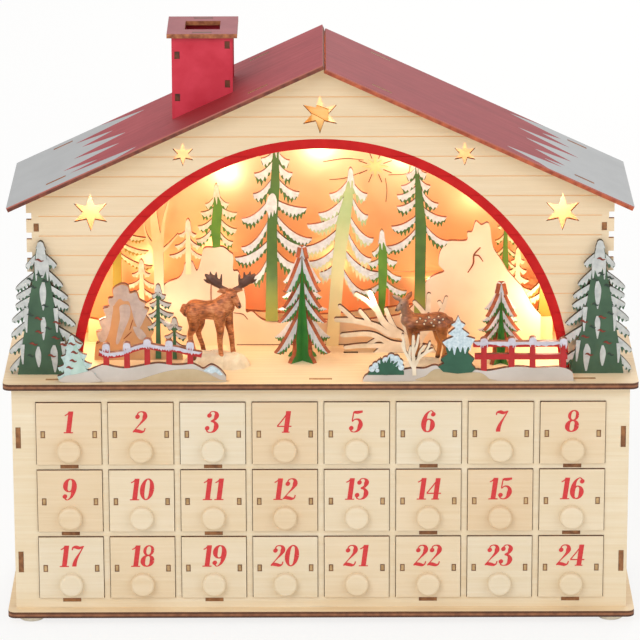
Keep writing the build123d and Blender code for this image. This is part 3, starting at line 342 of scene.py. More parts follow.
# each numeral as strokes in shares of its height: x, height, stroke width; a row of three numbers is a drop
stem, hair, drop = 0.21, 0.052, 0.1
numerals = {
    "0": [bowl(0.29, 0.5, 0.205, 0.475, stem, hair)],
    "1": [[(0.3, 0, stem), (0.3, 0.99, stem)], [(0.06, 0.8, hair), (0.16, 0.86, hair), (0.25, 0.97, 0.06)],
          [(0.1, 0.02, 0.045), (0.5, 0.02, 0.045)]],
    "2": [[(0.1, 0.74, hair), (0.16, 0.92, hair), (0.3, 0.97, 0.05), (0.43, 0.9, 0.13), (0.46, 0.74, stem),
           (0.4, 0.57, 0.12), (0.22, 0.32, 0.05), (0.04, 0.06, hair)],
          [(0.02, 0.04, 0.04), (0.12, 0.1, 0.14), (0.27, 0.08, 0.15), (0.4, 0.05, 0.12), (0.5, 0.09, 0.06),
           (0.53, 0.22, hair)], (0.14, 0.74, drop)],
    "3": [[(0.1, 0.8, hair), (0.17, 0.94, hair), (0.29, 0.975, 0.04), (0.41, 0.9, 0.13), (0.44, 0.77, stem),
           (0.38, 0.61, 0.12), (0.22, 0.53, hair)],
          [(0.22, 0.53, hair), (0.4, 0.47, 0.11), (0.48, 0.29, stem), (0.42, 0.1, 0.13), (0.27, 0.02, 0.04),
           (0.12, 0.06, hair), (0.07, 0.2, hair)], (0.13, 0.79, drop), (0.1, 0.21, drop)],
    "4": [[(0.41, 0, stem), (0.41, 0.98, stem)], [(0.42, 0.98, hair), (0.22, 0.62, hair), (0.01, 0.3, hair)],
          [(0.0, 0.285, 0.05), (0.62, 0.285, 0.05)], [(0.24, 0.02, 0.045), (0.57, 0.02, 0.045)]],
    "5": [[(0.13, 0.93, 0.1), (0.3, 0.92, 0.14), (0.5, 0.96, 0.09)], [(0.12, 0.95, hair), (0.1, 0.52, hair)],
          [(0.1, 0.5, hair), (0.22, 0.6, 0.05), (0.36, 0.59, 0.09), (0.46, 0.47, 0.15), (0.47, 0.3, stem),
           (0.4, 0.1, 0.12), (0.25, 0.02, 0.04), (0.11, 0.07, hair), (0.07, 0.19, hair)], (0.1, 0.2, drop)],
    "6": [[(0.48, 0.84, hair), (0.4, 0.95, hair), (0.3, 0.975, 0.04), (0.16, 0.82, 0.12), (0.1, 0.55, stem),
           (0.1, 0.3, stem), (0.17, 0.1, 0.12), (0.28, 0.02, 0.04)],
          bowl(0.29, 0.31, 0.19, 0.29, stem, hair, -90, 175), (0.45, 0.82, drop)],
    "7": [[(0.06, 0.78, hair), (0.09, 0.9, 0.08), (0.22, 0.92, 0.15), (0.36, 0.88, 0.13), (0.52, 0.94, 0.07)],
          [(0.54, 0.97, hair), (0.42, 0.68, 0.06), (0.29, 0.38, 0.13), (0.24, 0.16, 0.18), (0.24, 0.02, 0.19)]],
    "8": [bowl(0.29, 0.755, 0.17, 0.22, 0.14, hair), bowl(0.29, 0.275, 0.2, 0.25, stem, hair)],
}
numerals["9"] = [np.asarray(stroke, float) * (-1, -1, 1) + (0.57, 1.0, 0) for stroke in numerals["6"]]


def slab(outline, front, thickness):
    """Board cut to a closed outline of X and height above the deck: the outline on the front face and again on the
    back face, with a strip of quads round the cut edge."""
    outline = np.asarray(outline, float)
    ahead = np.roll(outline, -1, axis=0)
    if np.sum(outline[:, 0] * ahead[:, 1] - ahead[:, 0] * outline[:, 1]) < 0:
        outline = outline[::-1]
    count = len(outline)
    near = np.column_stack((outline[:, 0], np.full(count, front), outline[:, 1] + deck_top))
    ring = np.arange(count)
    after = np.roll(ring, -1)
    rim = np.column_stack((after, ring, ring + count, after + count))
    return np.vstack((near, near + (0, thickness, 0))), [ring.tolist(), (ring[::-1] + count).tolist(), *rim.tolist()]


def piece(name, slabs, material, body="calendar"):
    """One object from several closed shapes of one finish, given in millimetres; it rides on a body."""
    starts = np.cumsum([0] + [len(points) for points, _ in slabs])
    points = np.vstack([points for points, _ in slabs]) * mm
    faces = [[i + start for i in face] for (_, shape), start in zip(slabs, starts) for face in shape]
    mesh = bpy.data.meshes.new(name)
    mesh.from_pydata(points.tolist(), [], faces)
    mesh.materials.append(material)
    mesh.update()
    made = put(name, mesh)
    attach(made, body)
    return made


_, _, colour = mottled("red_printing_ink", ("#C9282B", "#D63C3E"), size=1.5, detail=3.0)
ink = finish(colour, roughness=0.5)
ink_film, ink_step = 0.12, 0.02
numeral_height, numeral_foot, numeral_slant = 14.6, 21.2, 0.13
one_advance, other_advance = 0.5, 0.6
for number in range(1, 25):
    name, digits = f"drawer_{number:02d}", str(number)
    low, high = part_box(name)
    foot = low.z / mm + numeral_foot - deck_top
    advance = np.array([one_advance if digit == "1" else other_advance for digit in digits])
    starts = np.cumsum(advance) - advance
    left = (low.x + high.x) / 2 / mm - (advance.sum() + numeral_slant) * numeral_height / 2
    inked = []
    for digit, start in zip(digits, starts):
        for layer, stroke in enumerate(numerals[digit]):
            stroke = np.asarray(stroke, float)
            x, z = (ribbon(stroke) if stroke.ndim > 1 else disc(*stroke)).T
            line = np.column_stack(((start + x + numeral_slant * z) * numeral_height + left,
                                    z * numeral_height + foot))
            proud = ink_film + ink_step * layer
            inked.append(slab(line, front_face / mm - proud, proud))
    piece(f"numeral_{number:02d}", inked, ink, name)

# House walls: the front wall has clapboard lines cut into it, star cut-outs and a painted band round the arch.
# The back wall's inner face carries the sky in thin paint, and everything else is bare.
arch_middle, arch_radius, band_width = 157.0 * mm, 151.3 * mm, 6.2 * mm
groove_depth, lip_depth, groove_colour = 0.2 * mm, 0.6 * mm, linear("#F0C795")
wall_front, level_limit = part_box("house_front")[0].y, 0.99
coords = new_material("birch_house_front")
face, pores = grain(coords, "X", "#EAD5B5", "#E1C9A5")
x, y, z = add("SeparateXYZ", {0: coords["Object"]})
level = add("Math", {0: z, 1: arch_middle}, operation="SUBTRACT")[0]
spot = add("CombineXYZ", {"X": x, "Y": level})[0]
radius = add("VectorMath", {0: spot}, operation="LENGTH")["Value"]
band = add("Math", {0: radius, 1: arch_radius + band_width / 2, 2: band_width / 2}, operation="COMPARE")[0]
groove = add("Math", {0: y, 1: wall_front + groove_depth}, operation="GREATER_THAN")[0]
face = add("Mix", {0: groove, 6: face, 7: groove_colour}, data_type="RGBA")[2]
flat = add("Math", {0: add("SeparateXYZ", {0: coords["Normal"]})["Z"]}, operation="ABSOLUTE")[0]
flat = add("Math", {0: flat, 1: level_limit}, operation="GREATER_THAN")[0]
shallow = add("Math", {0: y, 1: wall_front + lip_depth}, operation="LESS_THAN")[0]
lip = add("Math", {0: flat, 1: shallow}, operation="MULTIPLY")[0]
edge = scorched(coords, "#6B3A1A", "#A5642F")
edge = add("Mix", {0: lip, 6: edge, 7: groove_colour}, data_type="RGBA")[2]
band = add("Math", {0: band, 1: shallow}, operation="MULTIPLY")[0]
mottle = add("TexNoise", {"Vector": coords["Object"], "Scale": 1 / (9 * mm), "Detail": 4.0})["Fac"]
red = add("ValToRGB", {0: mottle}, stops=((0.3, "#B81416"), (0.7, "#C81F1E")))[0]
colour = add("Mix", {0: band, 6: cut_board(coords, (0, 1, 0), face, edge), 7: red}, data_type="RGBA")[2]
wall_birch = finish(colour, roughness=0.6, height=pores)
wall_birch.node_tree.nodes["Principled BSDF"].inputs["Specular IOR Level"].default_value = 0.2
dress(wall_birch, "house_front")
dress(side_birch, "house_sides")

sky_height = 130
sky_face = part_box("house_back")[0].y


def dusk(coords):
    """Colour of the painted sky, from orange at the deck to pale at the top of the arch."""
    height = add("SeparateXYZ", {0: coords["Object"]})["Z"]
    share = add("MapRange", {
        "Value": height, "From Min": deck_top * mm, "From Max": (deck_top + sky_height) * mm})[0]
    return add("ValToRGB", {0: share}, stops=((0.0, "#FFAA70"), (0.5, "#FFB880"), (1.0, "#FFD6AC")))[0]


coords = new_material("sky_painted_birch")
face, pores = grain(coords, "X", "#F3E2C0", "#E2C898")
inner = add("SeparateXYZ", {0: coords["Normal"]})["Y"]
inner = add("Math", {0: inner, 1: -face_limit}, operation="LESS_THAN")[0]
face = add("Mix", {0: inner, 6: face, 7: dusk(coords)}, data_type="RGBA")[2]
dress(finish(cut_board(coords, (0, 1, 0), face, scorched(coords)), roughness=0.65, height=pores), "house_back")

# Roof: two plywood slopes rolled with matt red paint on their upper face, with grey snow brushed up from the
# eaves in long spikes. The underside is bare and the cut edges are scorched. The two slopes' reds and edge
# browns differ as painted light and shade for how the light falls on each slope, and the left slope's red
# deepens in front of the chimney as painted shade and red reflection of the chimney.
slope = np.radians(24.85)
roof_reach, roof_back, arris = 195.8, 120.0, 330.6 * mm
# the chimney's place, and how far beside it and ahead of it its painted shade and red reflection reach on the left
# slope
chimney_x, chimney_shade_beside, chimney_shade_ahead = -68 * mm, (30 * mm, 16 * mm), (-6 * mm, -16 * mm)
# each slope: name, three reds, two colours of its scorched edge, and how far the snow reaches up from the eave at
# each setback from the deck's front; the reds and edge colours are the one paint's tones as lit on that slope,
# painted light and shade
slopes = (
    (-1, "roof_left", ("#8F2830", "#A2383E", "#AD4C50"), ("#5B2A1E", "#85442E"),
     [(9, 58), (11.8, 67), (19.4, 82), (27.7, 39), (31.5, 57), (41, 34), (48.4, 70), (60.4, 40), (69, 73), (82, 44),
      (88.7, 64), (98.8, 39), (106, 84), (118, 54)]),
    (1, "roof_right", ("#851920", "#94252B", "#A1373C"), ("#8E3A20", "#C0603A"),
     [(9, 50), (16.6, 59), (23.2, 80), (31, 44), (34, 56), (38, 42), (47.4, 61), (55.9, 37), (66, 66), (74.2, 31),
      (84, 70), (91, 36), (97, 54), (104, 41), (112, 74), (118, 52)]),
)
for side, name, reds, scorch, tips in slopes:
    up_slope = (side * np.sin(slope), 0, np.cos(slope))
    coords = new_material(name + "_matt_paint")
    x, y, _ = add("SeparateXYZ", {0: coords["Object"]})
    out = add("Math", {0: x}, operation="ABSOLUTE")[0]
    bare, _ = grain(coords, "Y", "#EBD7B0", "#D9BC8A")
    stretch = (1 / (70 * mm), 1 / (3.5 * mm), 1 / (70 * mm))
    drag = add("Mapping", {"Vector": coords["Object"], "Scale": stretch})[0]
    brush = add("TexNoise", {"Vector": drag, "Scale": 1.0, "Detail": 3.0})["Fac"]
    scuff = add("TexNoise", {
        "Vector": coords["Object"], "Scale": 1 / (25 * mm), "Detail": 6.0, "Roughness": 0.7})["Fac"]
    mixed = add("Mix", {0: 0.5, 2: brush, 3: scuff})[0]
    # Each slope's own reds: painted light and shade of the one red paint, for how the light falls on that slope.
    red = add("ValToRGB", {0: mixed}, stops=tuple(zip((0.34, 0.55, 0.72), reds)))[0]
    # Painted shade and red reflection of the chimney on the left slope: the red deepens in front of and beside the
    # chimney.
    if side < 0:
        beside = add("Math", {0: x, 1: chimney_x}, operation="SUBTRACT")[0]
        beside = add("Math", {0: beside}, operation="ABSOLUTE")[0]
        far, close = chimney_shade_beside
        near = add("MapRange", {"Value": beside, "From Min": far, "From Max": close, "To Max": 0.8})[0]
        ahead = add("MapRange", {"Value": y, "From Min": chimney_shade_ahead[0], "From Max": chimney_shade_ahead[1]})[0]
        near = add("Math", {0: near, 1: ahead}, operation="MULTIPLY")[0]
        red = add("Mix", {0: near, 6: red, 7: linear("#8E1218")}, data_type="RGBA")[2]
    share = add("MapRange", {"Value": y, "From Min": deck_front, "From Max": deck_front + roof_back * mm})[0]
    reach = add("ValToRGB", {0: share}, stops=[(back / roof_back, up / roof_reach) for back, up in tips])[0]
    line = add("Math", {0: reach, 1: -roof_reach * mm, 2: roof_reach * mm}, operation="MULTIPLY_ADD")[0]
    snow = add("Math", {0: out, 1: line}, operation="GREATER_THAN")[0]
    white = add("ValToRGB", {0: scuff}, stops=((0.3, "#ABACAC"), (0.7, "#B4B5B5")))[0]
    painted_face = add("Mix", {0: snow, 6: red, 7: white}, data_type="RGBA")[2]
    lean = add("VectorMath", {0: coords["Normal"], 1: up_slope}, operation="DOT_PRODUCT")["Value"]
    top = add("Math", {0: lean, 1: face_limit}, operation="GREATER_THAN")[0]
    face = add("Mix", {0: top, 6: bare, 7: painted_face}, data_type="RGBA")[2]
    rise = add("VectorMath", {0: coords["Object"], 1: up_slope}, operation="DOT_PRODUCT")["Value"]
    # A thin band along the upper arris of the cut edge is painted a paler pinkish brown than the rest of the edge.
    upper_arris_band = add("MapRange", {"Value": rise, "From Min": arris - 1.1 * mm, "From Max": arris - 0.5 * mm})[0]
    edge = add("Mix", {0: upper_arris_band, 6: scorched(coords, *scorch), 7: linear("#B0665A")}, data_type="RGBA")[2]
    dress(finish(cut_board(coords, up_slope, face, edge), roughness=0.66, height=mixed), name)

# Chimney: four small boards painted a brighter red and tabbed together on the left slope, under a cap with a square
# hole whose cut edge is left raw.


def painted(name, hues, size=6.0, fade=None, facing=(0, 1, 0), dark="#3E1A0C", light="#6E381C", roughness=0.62):
    """Matt paint on a cut board: its face is mottled between two hues over a size in millimetres and may fade to a
    third hue towards its foot; the cut edges are scorched."""
    coords, mottle, face = mottled(name, hues, size, detail=4.0)
    if fade:
        low, high, code = fade
        height = add("SeparateXYZ", {0: coords["Object"]})["Z"]
        share = add("MapRange", {
            "Value": height, "From Min": (deck_top + low) * mm, "From Max": (deck_top + high) * mm})[0]
        face = add("Mix", {0: share, 6: linear(code), 7: face}, data_type="RGBA")[2]
    return finish(cut_board(coords, facing, face, scorched(coords, dark, light)), roughness, mottle)


chimney_reds = ("#C11F36", "#D3384C")
dress(painted("chimney_front_paint", chimney_reds, size=14.0), "chimney_front", "chimney_back")
dress(painted("chimney_side_paint", chimney_reds, size=14.0, facing=(1, 0, 0)), "chimney_sides")
dress(painted("chimney_cap_paint", ("#8A383E", "#9A484C"), size=14.0, facing=(0, 0, 1), dark="#7A3F22",
              light="#C07A4C"), "chimney_cap")

# Lights: a white strip bent behind the arch with seven warm bulbs, fed from a box of cells in the back wall. The
# bulbs' light also falls on the sky from above and from both ends of the deck.
plastic_whites, mould_depth = ("#E9E7E1", "#DDDAD2"), 0.05 * mm
_, mould, colour = mottled("white_moulded_abs", plastic_whites, size=0.8)
dress(finish(colour, roughness=0.45, height=mould, depth=mould_depth), "led_strip", "battery_cover", "switch_knob")
coords, mould, bare = mottled("sky_painted_abs", plastic_whites, size=0.8)
y = add("SeparateXYZ", {0: coords["Object"]})["Y"]
inside = add("Math", {0: y, 1: sky_face}, operation="LESS_THAN")[0]
colour = add("Mix", {0: inside, 6: bare, 7: dusk(coords)}, data_type="RGBA")[2]
dress(finish(colour, roughness=0.5, height=mould, depth=mould_depth), "battery_box")
cells_low, cells_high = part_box("battery_cells")
coords = new_material("printed_cell_sleeve")
along = add("SeparateXYZ", {0: coords["Object"]})["X"]
share = add("MapRange", {"Value": along, "From Min": cells_low.x, "From Max": cells_high.x})[0]
colour = add("ValToRGB", {0: share}, stops=(
    (0.0, "#2B2C2F"), (0.68, "#34363A"), (0.7, "#B98A3C"), (0.95, "#C79A4A"), (0.98, "#C9C9C6")))[0]
dress(finish(colour, roughness=0.35), "battery_cells")
_, _, colour = mottled("clear_warm_lens", ("#FFE7B0", "#FFF3D2"), size=1.5)
lens = finish(colour, roughness=0.2)
lens_shader = lens.node_tree.nodes["Principled BSDF"]
lens.node_tree.links.new(colour, lens_shader.inputs["Emission Color"])
lens_shader.inputs["Emission Strength"].default_value = 6.0
dress(lens, "led_bulbs")
bulb_turn = np.radians((-76.0, -46.0, -19.0, 0.0, 19.0, 46.0, 76.0))
bulb_reach, bulb_size = 148.3 * mm, 0.003
strip_middle = sum(corner.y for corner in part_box("led_strip")) / 2
bulb_powers = (0.006, 0.035, 0.05, 0.06, 0.05, 0.024, 0.025)
bulb_places = np.column_stack((bulb_reach * np.sin(bulb_turn), np.full(len(bulb_turn), strip_middle),
                               arch_middle + bulb_reach * np.cos(bulb_turn)))
# each wash of light on the sky, behind a star or on the deck: x, depth and height above the deck, power in watts; the
# first few are so near the sky that they burn out to white
white_washes = 5
washes = np.array([
    (-60, 40, 108, 0.016), (0, 40, 127, 0.022), (53.6, 40, 118, 0.012), (-144, 32, 92, 0.024), (152, 32, 92, 0.024),
    (-112, 40, 50, 0.012), (100, 40, 92, 0.008), (-146, 4, 34, 0.06), (146, 4, 32, 0.07), (-94, 0, 26, 0.012),
    (-70, 38, 60, 0.012), (10, 38, 50, 0.014), (66, 28, 46, 0.01), (-86, 30, 140, 0.011), (90, 30, 140, 0.008),
    (-34, 0, 38, 0.014), (32, 0, 38, 0.011)])
wash_places = washes[:, :3] * mm + (0, 0, deck_top * mm)
for name, places, powers in (("bulb_light", bulb_places, bulb_powers), ("sky_light", wash_places, washes[:, 3])):
    for i, (place, power) in enumerate(zip(places, powers)):
        lamp = bpy.data.lights.new(f"{name}_{i}", "POINT")
        code = "#FFF4E6" if name == "sky_light" and i < white_washes else "#FFE2C4"
        lamp.energy, lamp.shadow_soft_size, lamp.color = power, bulb_size, linear(code)[:3]
        put(f"{name}_{i}", lamp, place)

# Strip holders: two offcuts of bare birch glued up behind the wall's top star, on which the strip's middle rests.
# They
# are given a faint warm emission: a painted glow that stands in for the bulbs' light coming through them.
ridge_star, holder_thick = 168.3, 2.45
holders = (
    ([(-10.5, 5.7), (-2.4, 4.2), (1.7, 2.9), (5.5, 1.4), (5.5, -14), (-10.5, -14)], -29.5),
    ([(-5.2, -0.4), (-1.9, -2.0), (1.9, -4.2), (3.4, -5.2), (3.4, -14), (-5.2, -14)], -32.0),
)
offcut = bare_birch("birch_offcut_painted_glow", (0, 1, 0), pale="#F0CE96", deep="#E2B878", dark="#5A2C10", light="#8A4E22")
offcut_glow_shader = offcut.node_tree.nodes["Principled BSDF"]
# Painted glow: the offcuts emit a little warm light of their own, though they are no lamp.
offcut_glow_shader.inputs["Emission Color"].default_value = linear("#F2A948")
offcut_glow_shader.inputs["Emission Strength"].default_value = 0.45
offcuts = [slab(np.array(line) + (0, ridge_star), front, holder_thick) for line, front in holders]
piece("strip_holders", offcuts, offcut)

# Forest panel: one board of mountains and firs behind the scene, laser cut, spray painted in thin colours and
# dabbed with snow paint. Each fir is cut with curved boughs that hang from its trunk and drip at their lower edge.
board, film = 3.9, 0.14
forest_scorch = {"dark": "#642A0E", "light": "#96491B"}


def bough(x, z, reach, fall, depth, phase=0.0, cover=1.0, bend=2.0, taper=0.0):
    """Outline of a hanging bough: its upper edge falls as a power, the bend, which flattens it towards the tip above
    one and lets the tip droop below one; its lower edge hangs under that by a depth that swells in the middle, tapers
    outwards, closes at the tip and runs in drips."""
    along = np.linspace(0, 1, 45)
    upper = z - fall * (1 - (1 - along) ** bend)
    swell = np.sqrt(np.clip(1 - along ** 6, 0, None)) * (0.6 + 0.4 * np.sin(np.pi * along)) * (1 - taper * along)
    drips = max(2.0, np.round(abs(reach) / 2.4))
    drip = np.sin(np.pi * drips * along + phase) ** 2 * (0.65 + 0.35 * np.sin(6 * along + 3 * phase))
    lower = upper - depth * cover * swell * (0.6 + 0.4 * drip)
    across = x + reach * along
    return np.vstack((np.column_stack((across, upper)), np.column_stack((across, lower))[-2::-1]))


def fir(trunk, left, right, depth, front, tip=6.0, cover=0.68, both=False, blunt=1.6, board=board, **hang):
    """Slabs of a fir in a board: its trunk, its boughs and their snow. The trunk's rows give height, left edge and
    right edge; a bough's row gives the height of its root, its reach and its fall. Snow hides most of a bough, on
    the front face or on both; the top is blunt by a half width. Each bough stands a step behind the one above it."""
    lap, sink, step, stagger, thin = 1.2, 0.3, 0.04, 0.013, board - 0.7
    trunk = np.asarray(trunk, float)
    wood, snow = [slab(np.vstack((trunk[:, [1, 0]], trunk[::-1, [2, 0]])), front, board)], []
    for side, rows, column in ((-1, left, 1), (1, right, 2)):
        for i, ((root, reach, fall), deep) in enumerate(zip(rows, np.broadcast_to(depth, len(rows)))):
            x = np.interp(root, trunk[:, 0], trunk[:, column]) - side * lap
            back = front + sink + step * i + stagger * (side > 0)
            shape = (x, root, side * (reach + lap), fall, deep)
            wood.append(slab(bough(*shape, phase=i, **hang), back, thin))
            faces = (back - film, back + thin) if both else (back - film,)
            snow += [slab(bough(*shape, phase=i + 0.9, cover=cover, **hang), face, film) for face in faces]
    height, low, high = trunk[-1]
    middle, half = (low + high) / 2, max((high - low) / 2, blunt)
    cap = np.array([(-1.5, -1.5), (-1.05, -0.7), (-0.8, -0.15), (0, 0.15), (0.8, -0.15), (1.1, -0.7), (1.6, -1.7),
                    (0.5, -1.2), (0.1, -2.1), (-0.6, -1.3), (-1.5, -1.5)]) * (half, tip) + (middle, height)
    cap = smooth(cap, 6)[:-1]
    wood.append(slab(cap, front + 0.15, board - 0.3))
    snow += [slab(cap, face, film) for face in ((front - film, front + board) if both else (front - film,))]
    return wood, snow


def closed(points):
    """Smooth closed curve through points."""
    points, steps = np.asarray(points, float), 6
    looped = np.vstack((points[-1:], points, points[:2]))
    return smooth(looped, steps)[steps:-steps - 1]


def stand(name, parts, paint, snow_paint):
    """Fir or other plant as two pieces: the painted board and the snow on it."""
    wood, snow = parts
    piece(name + "_snow", snow, snow_paint)
    return piece(name, wood, paint)


def bank(points, foot=0.0, steps=6):
    """Outline under a smooth skyline, closed along its foot."""
    line = smooth(points, steps)
    return np.vstack(((line[0, 0], foot), line, (line[-1, 0], foot)))


def films(outlines, front, depth=film):
    """Thin layers of paint or scorched lines that stand out from a face by their depth."""
    return [slab(outline, front - depth, depth) for outline in outlines]


forest_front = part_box("forest_panel")[0].y / mm
hills = [
    (-141.7, 14), (-131, 20), (-123, 25), (-113, 28), (-106, 33), (-99.2, 41.7), (-91, 45.4), (-88, 50),
    (-86.8, 55), (-82.2, 56.1), (-79.2, 50.2), (-76.5, 58), (-74.5, 65.1), (-68, 65.6), (-62.4, 66), (-58, 62.5),
    (-55.8, 60.1), (-55.9, 50.5), (-52.3, 48.9), (-48.3, 33.4), (-47.9, 22.7), (-43.8, 22.7), (-36.1, 16.7),
    (-20, 16), (0, 17), (18, 15.5), (36, 18), (50, 20), (57, 24), (61.1, 29.1), (67.7, 42), (73, 46.5), (79.4, 49.4),
    (76.4, 53), (75.8, 55.8), (76.6, 62), (79.2, 66.5), (82.3, 69.7), (93.4, 70), (94.2, 75.2), (97.2, 76),
    (99.5, 82.7), (103.1, 80.3), (108, 81), (110.6, 66), (116, 57), (120, 50), (125, 44), (130, 38), (136, 27),
    (141.7, 20)]
mountain_paint = painted("mountain_wash", ("#F5D6BC", "#ECC7A8"), size=30.0, fade=(-5, 34, "#F7D8AE"),
                         **forest_scorch)
mountains = piece("mountains", [slab(bank(hills, steps=5), forest_front, board)], mountain_paint)
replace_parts(mountains, "forest_panel")
brown_line = painted("engraved_line", ("#6E3216", "#8A4420"), size=4.0)
cracks = [
    [(102.6, 65.5, 0.9), (98.6, 60.6, 1.1), (98, 54.5, 1.1), (94.6, 48.6, 0.7)],
    [(98.7, 60.3, 0.9), (101.6, 59.8, 1.0), (104.4, 56, 0.6)],
    [(-70, 45, 0.5), (-70.3, 36, 0.7), (-70.2, 26, 0.5)],
    [(-56, 22, 0.5), (-50, 21, 0.7), (-46.8, 17.5, 0.5)],
    [(-54, 0.4, 0.5), (-20, 0.4, 0.6), (24, 0.4, 0.5)],
]
piece("mountain_cracks", films(map(ribbon, cracks), forest_front), brown_line)

snow_paint = painted("snow_dabs", ("#D8D9D8", "#BDBEBD"), size=2.5, dark="#8A5A38", light="#B98A60")
# The dark, lime and pale fir sprays fade to a paler, yellower hue towards their foot: partly a sprayed fade, partly
# painted glow of the bulbs' light on the lower forest.
dark_fir = painted("fir_green_spray", ("#3A5A22", "#486A2A"), size=9.0, fade=(0, 46, "#B8B254"), **forest_scorch)
lime_fir = painted("lime_green_spray", ("#4A761B", "#5C8624"), size=9.0, fade=(10, 30, "#7E8A30"), dark="#6A4A1A",
                   light="#97702F")
pale_fir = painted("pale_green_spray", ("#98AE76", "#A6B884"), size=9.0, fade=(10, 90, "#FBE6AE"), **forest_scorch)
# Snow on the lime and ivory firs is painted cream: painted warm light of the bulbs on the same white snow paint.
warm_lit_snow = painted("warm_snow_dabs", ("#EADFC6", "#D2C3A4"), size=2.5, **forest_scorch)
ivory_fir = painted("ivory_spray", ("#F1E3B8", "#E8D8A8"), size=9.0, **forest_scorch)

tall_wood, tall_snow = fir(
    [(16.5, -35.4, -27.4), (80, -34, -27.7), (107, -31.7, -25.8), (128, -30.1, -26.3), (138, -28.9, -27)],
    [(131, 8, 6), (124.7, 11.7, 9.7), (113.1, 11.7, 11.6), (100.5, 18.1, 15.4), (86.2, 17.2, 20.2),
     (70.8, 20.5, 11.8), (60.1, 10.3, 14.4)],
    [(131, 7.1, 7.3), (123.1, 8.6, 7.9), (112.1, 12.7, 9.5), (97.3, 17.8, 5.3), (87.8, 21.9, 16), (78.2, 17.8, 11.2),
     (64.9, 12.7, 10.1)],
    depth=11.0, front=forest_front - 1.0)
heap = [(-35, 92), (-34.2, 97), (-32.2, 101), (-29.8, 102), (-28, 99), (-27.6, 93), (-28.6, 88.4), (-29.4, 91),
        (-30.4, 86.6), (-31.4, 90), (-32.6, 85.4), (-33.6, 89.4)]
tall_snow += films([closed(heap)], forest_front - 1.0)
stand("tall_fir", (tall_wood, tall_snow), dark_fir, snow_paint)
stand("lime_fir", fir(
    [(60, -68.4, -64.4), (78, -70, -63.6), (91, -68.6, -62.5), (100, -67.6, -64.4), (107, -66.8, -65.6)],
    [(103, 6.2, 8.5), (93, 8.1, 4), (86.2, 9.2, 6.5), (79.3, 9.7, 8.5)],
    [(103, 6.5, 8.2), (93, 9.8, 4.6), (85.1, 9.6, 7.4), (77.1, 7.8, 7.9)],
    depth=7.6, front=forest_front + 0.4), lime_fir, warm_lit_snow)
stand("pale_fir", fir(
    [(0, 3.4, 11.6), (53.7, 7.3, 15.5), (84.6, 10.8, 19.5), (99.4, 14.9, 21), (112, 17.8, 20.8), (118, 18.8, 20)],
    [(113, 12.2, 11.5), (101.5, 16.6, 12.7), (88.8, 20.4, 7.6), (78.2, 23.5, 12.2), (66.5, 15.8, 10.1),
     (54.2, 8.2, 5)],
    [(112.1, 9.4, 10.6), (101.5, 9.7, 14.3), (87.8, 14.3, 16), (77.1, 14.3, 18.6), (64.4, 20, 15), (52.6, 13.9, 16)],
    depth=11.0, front=forest_front - 1.5), pale_fir, snow_paint)
stand("slim_fir", fir(
    [(20, 60.2, 67.4), (42, 60.6, 67.4), (80, 60.8, 67.9), (101.5, 60.6, 65.2), (116, 60.6, 62.6), (127, 61.2, 62.4)],
    [(120, 6, 6), (113.3, 9, 7), (107, 11.6, 6.8), (99, 11.6, 6.4), (87.2, 15.2, 7.8), (79, 17.8, 12.8)],
    [(121, 5.4, 6.2), (114, 7.4, 7.4), (106.8, 11.3, 12.2), (93, 14.5, 7.4), (81.4, 14.4, 11.7)],
    depth=9.0, front=forest_front - 0.5), dark_fir, snow_paint)
stand("small_fir", fir(
    [(14, 37.6, 40.6), (48, 37.2, 42.9), (61, 37.1, 42.8), (70, 38, 41.4), (77, 38.8, 40)],
    [(70.8, 5.1, 8), (59, 6.4, 3.2), (50.5, 6, 3.4), (42, 11.3, 5.2)],
    [(70.8, 4.6, 6), (60.1, 6.5, 3.4), (52.6, 9.2, 6.4), (44.1, 12.8, 7.5)],
    depth=7.0, front=forest_front - 2.0), lime_fir, snow_paint)
stand("ivory_fir_high", fir(
    [(48, -86.4, -82.8), (66, -86.4, -82.8), (76, -86, -83.4), (84, -85.2, -84)],
    [(80, 5, 5.5), (73, 7, 6), (66.5, 10.4, 6)], [(80, 4.4, 5.5), (73, 6.4, 6), (66.5, 8, 6.4)],
    depth=4.0, front=forest_front - 0.4), ivory_fir, warm_lit_snow)
stand("ivory_fir_low", fir(
    [(20, -116.6, -113), (40, -116.4, -113.2), (50, -115.8, -113.8), (57, -115.2, -114.4)],
    [(53, 5.4, 5), (46, 8, 5), (39, 9.6, 5)], [(53, 5, 5), (46, 7.4, 5), (39, 8.4, 5)],
    depth=4.0, front=forest_front - 0.4), ivory_fir, warm_lit_snow)

# Bare tree on the forest panel: an ivory trunk that forks, its twigs cut as thin curved lines in the same board and
# washed with thin paint.
twig_lines = [
    [(-104, 20, 6.4), (-103.6, 45, 6.2), (-104.2, 66, 6.6), (-105.8, 80, 5.2), (-107, 96, 3.6), (-106, 106, 2.2)],
    [(-103.2, 62, 2.6), (-97, 67.6, 1.6), (-91, 74.6, 0.9)],
    [(-102.4, 60, 3.4), (-101, 76, 2.4), (-99.6, 86, 1.8), (-97, 96, 1.1), (-95.4, 104, 0.7)],
    [(-104.6, 64, 2.6), (-110.4, 72, 1.6), (-112.6, 80, 1.1), (-112, 90, 0.7)],
]
wood = [slab(ribbon(line), forest_front - 0.4 + 0.08 * i, board - 0.1 * i) for i, line in enumerate(twig_lines)]
bare_paint = painted("bare_tree_wash", ("#EBCB98", "#E0BD84"), size=9.0, fade=(34, 70, "#F6E8C6"), **forest_scorch)
piece("bare_tree", wood, bare_paint)

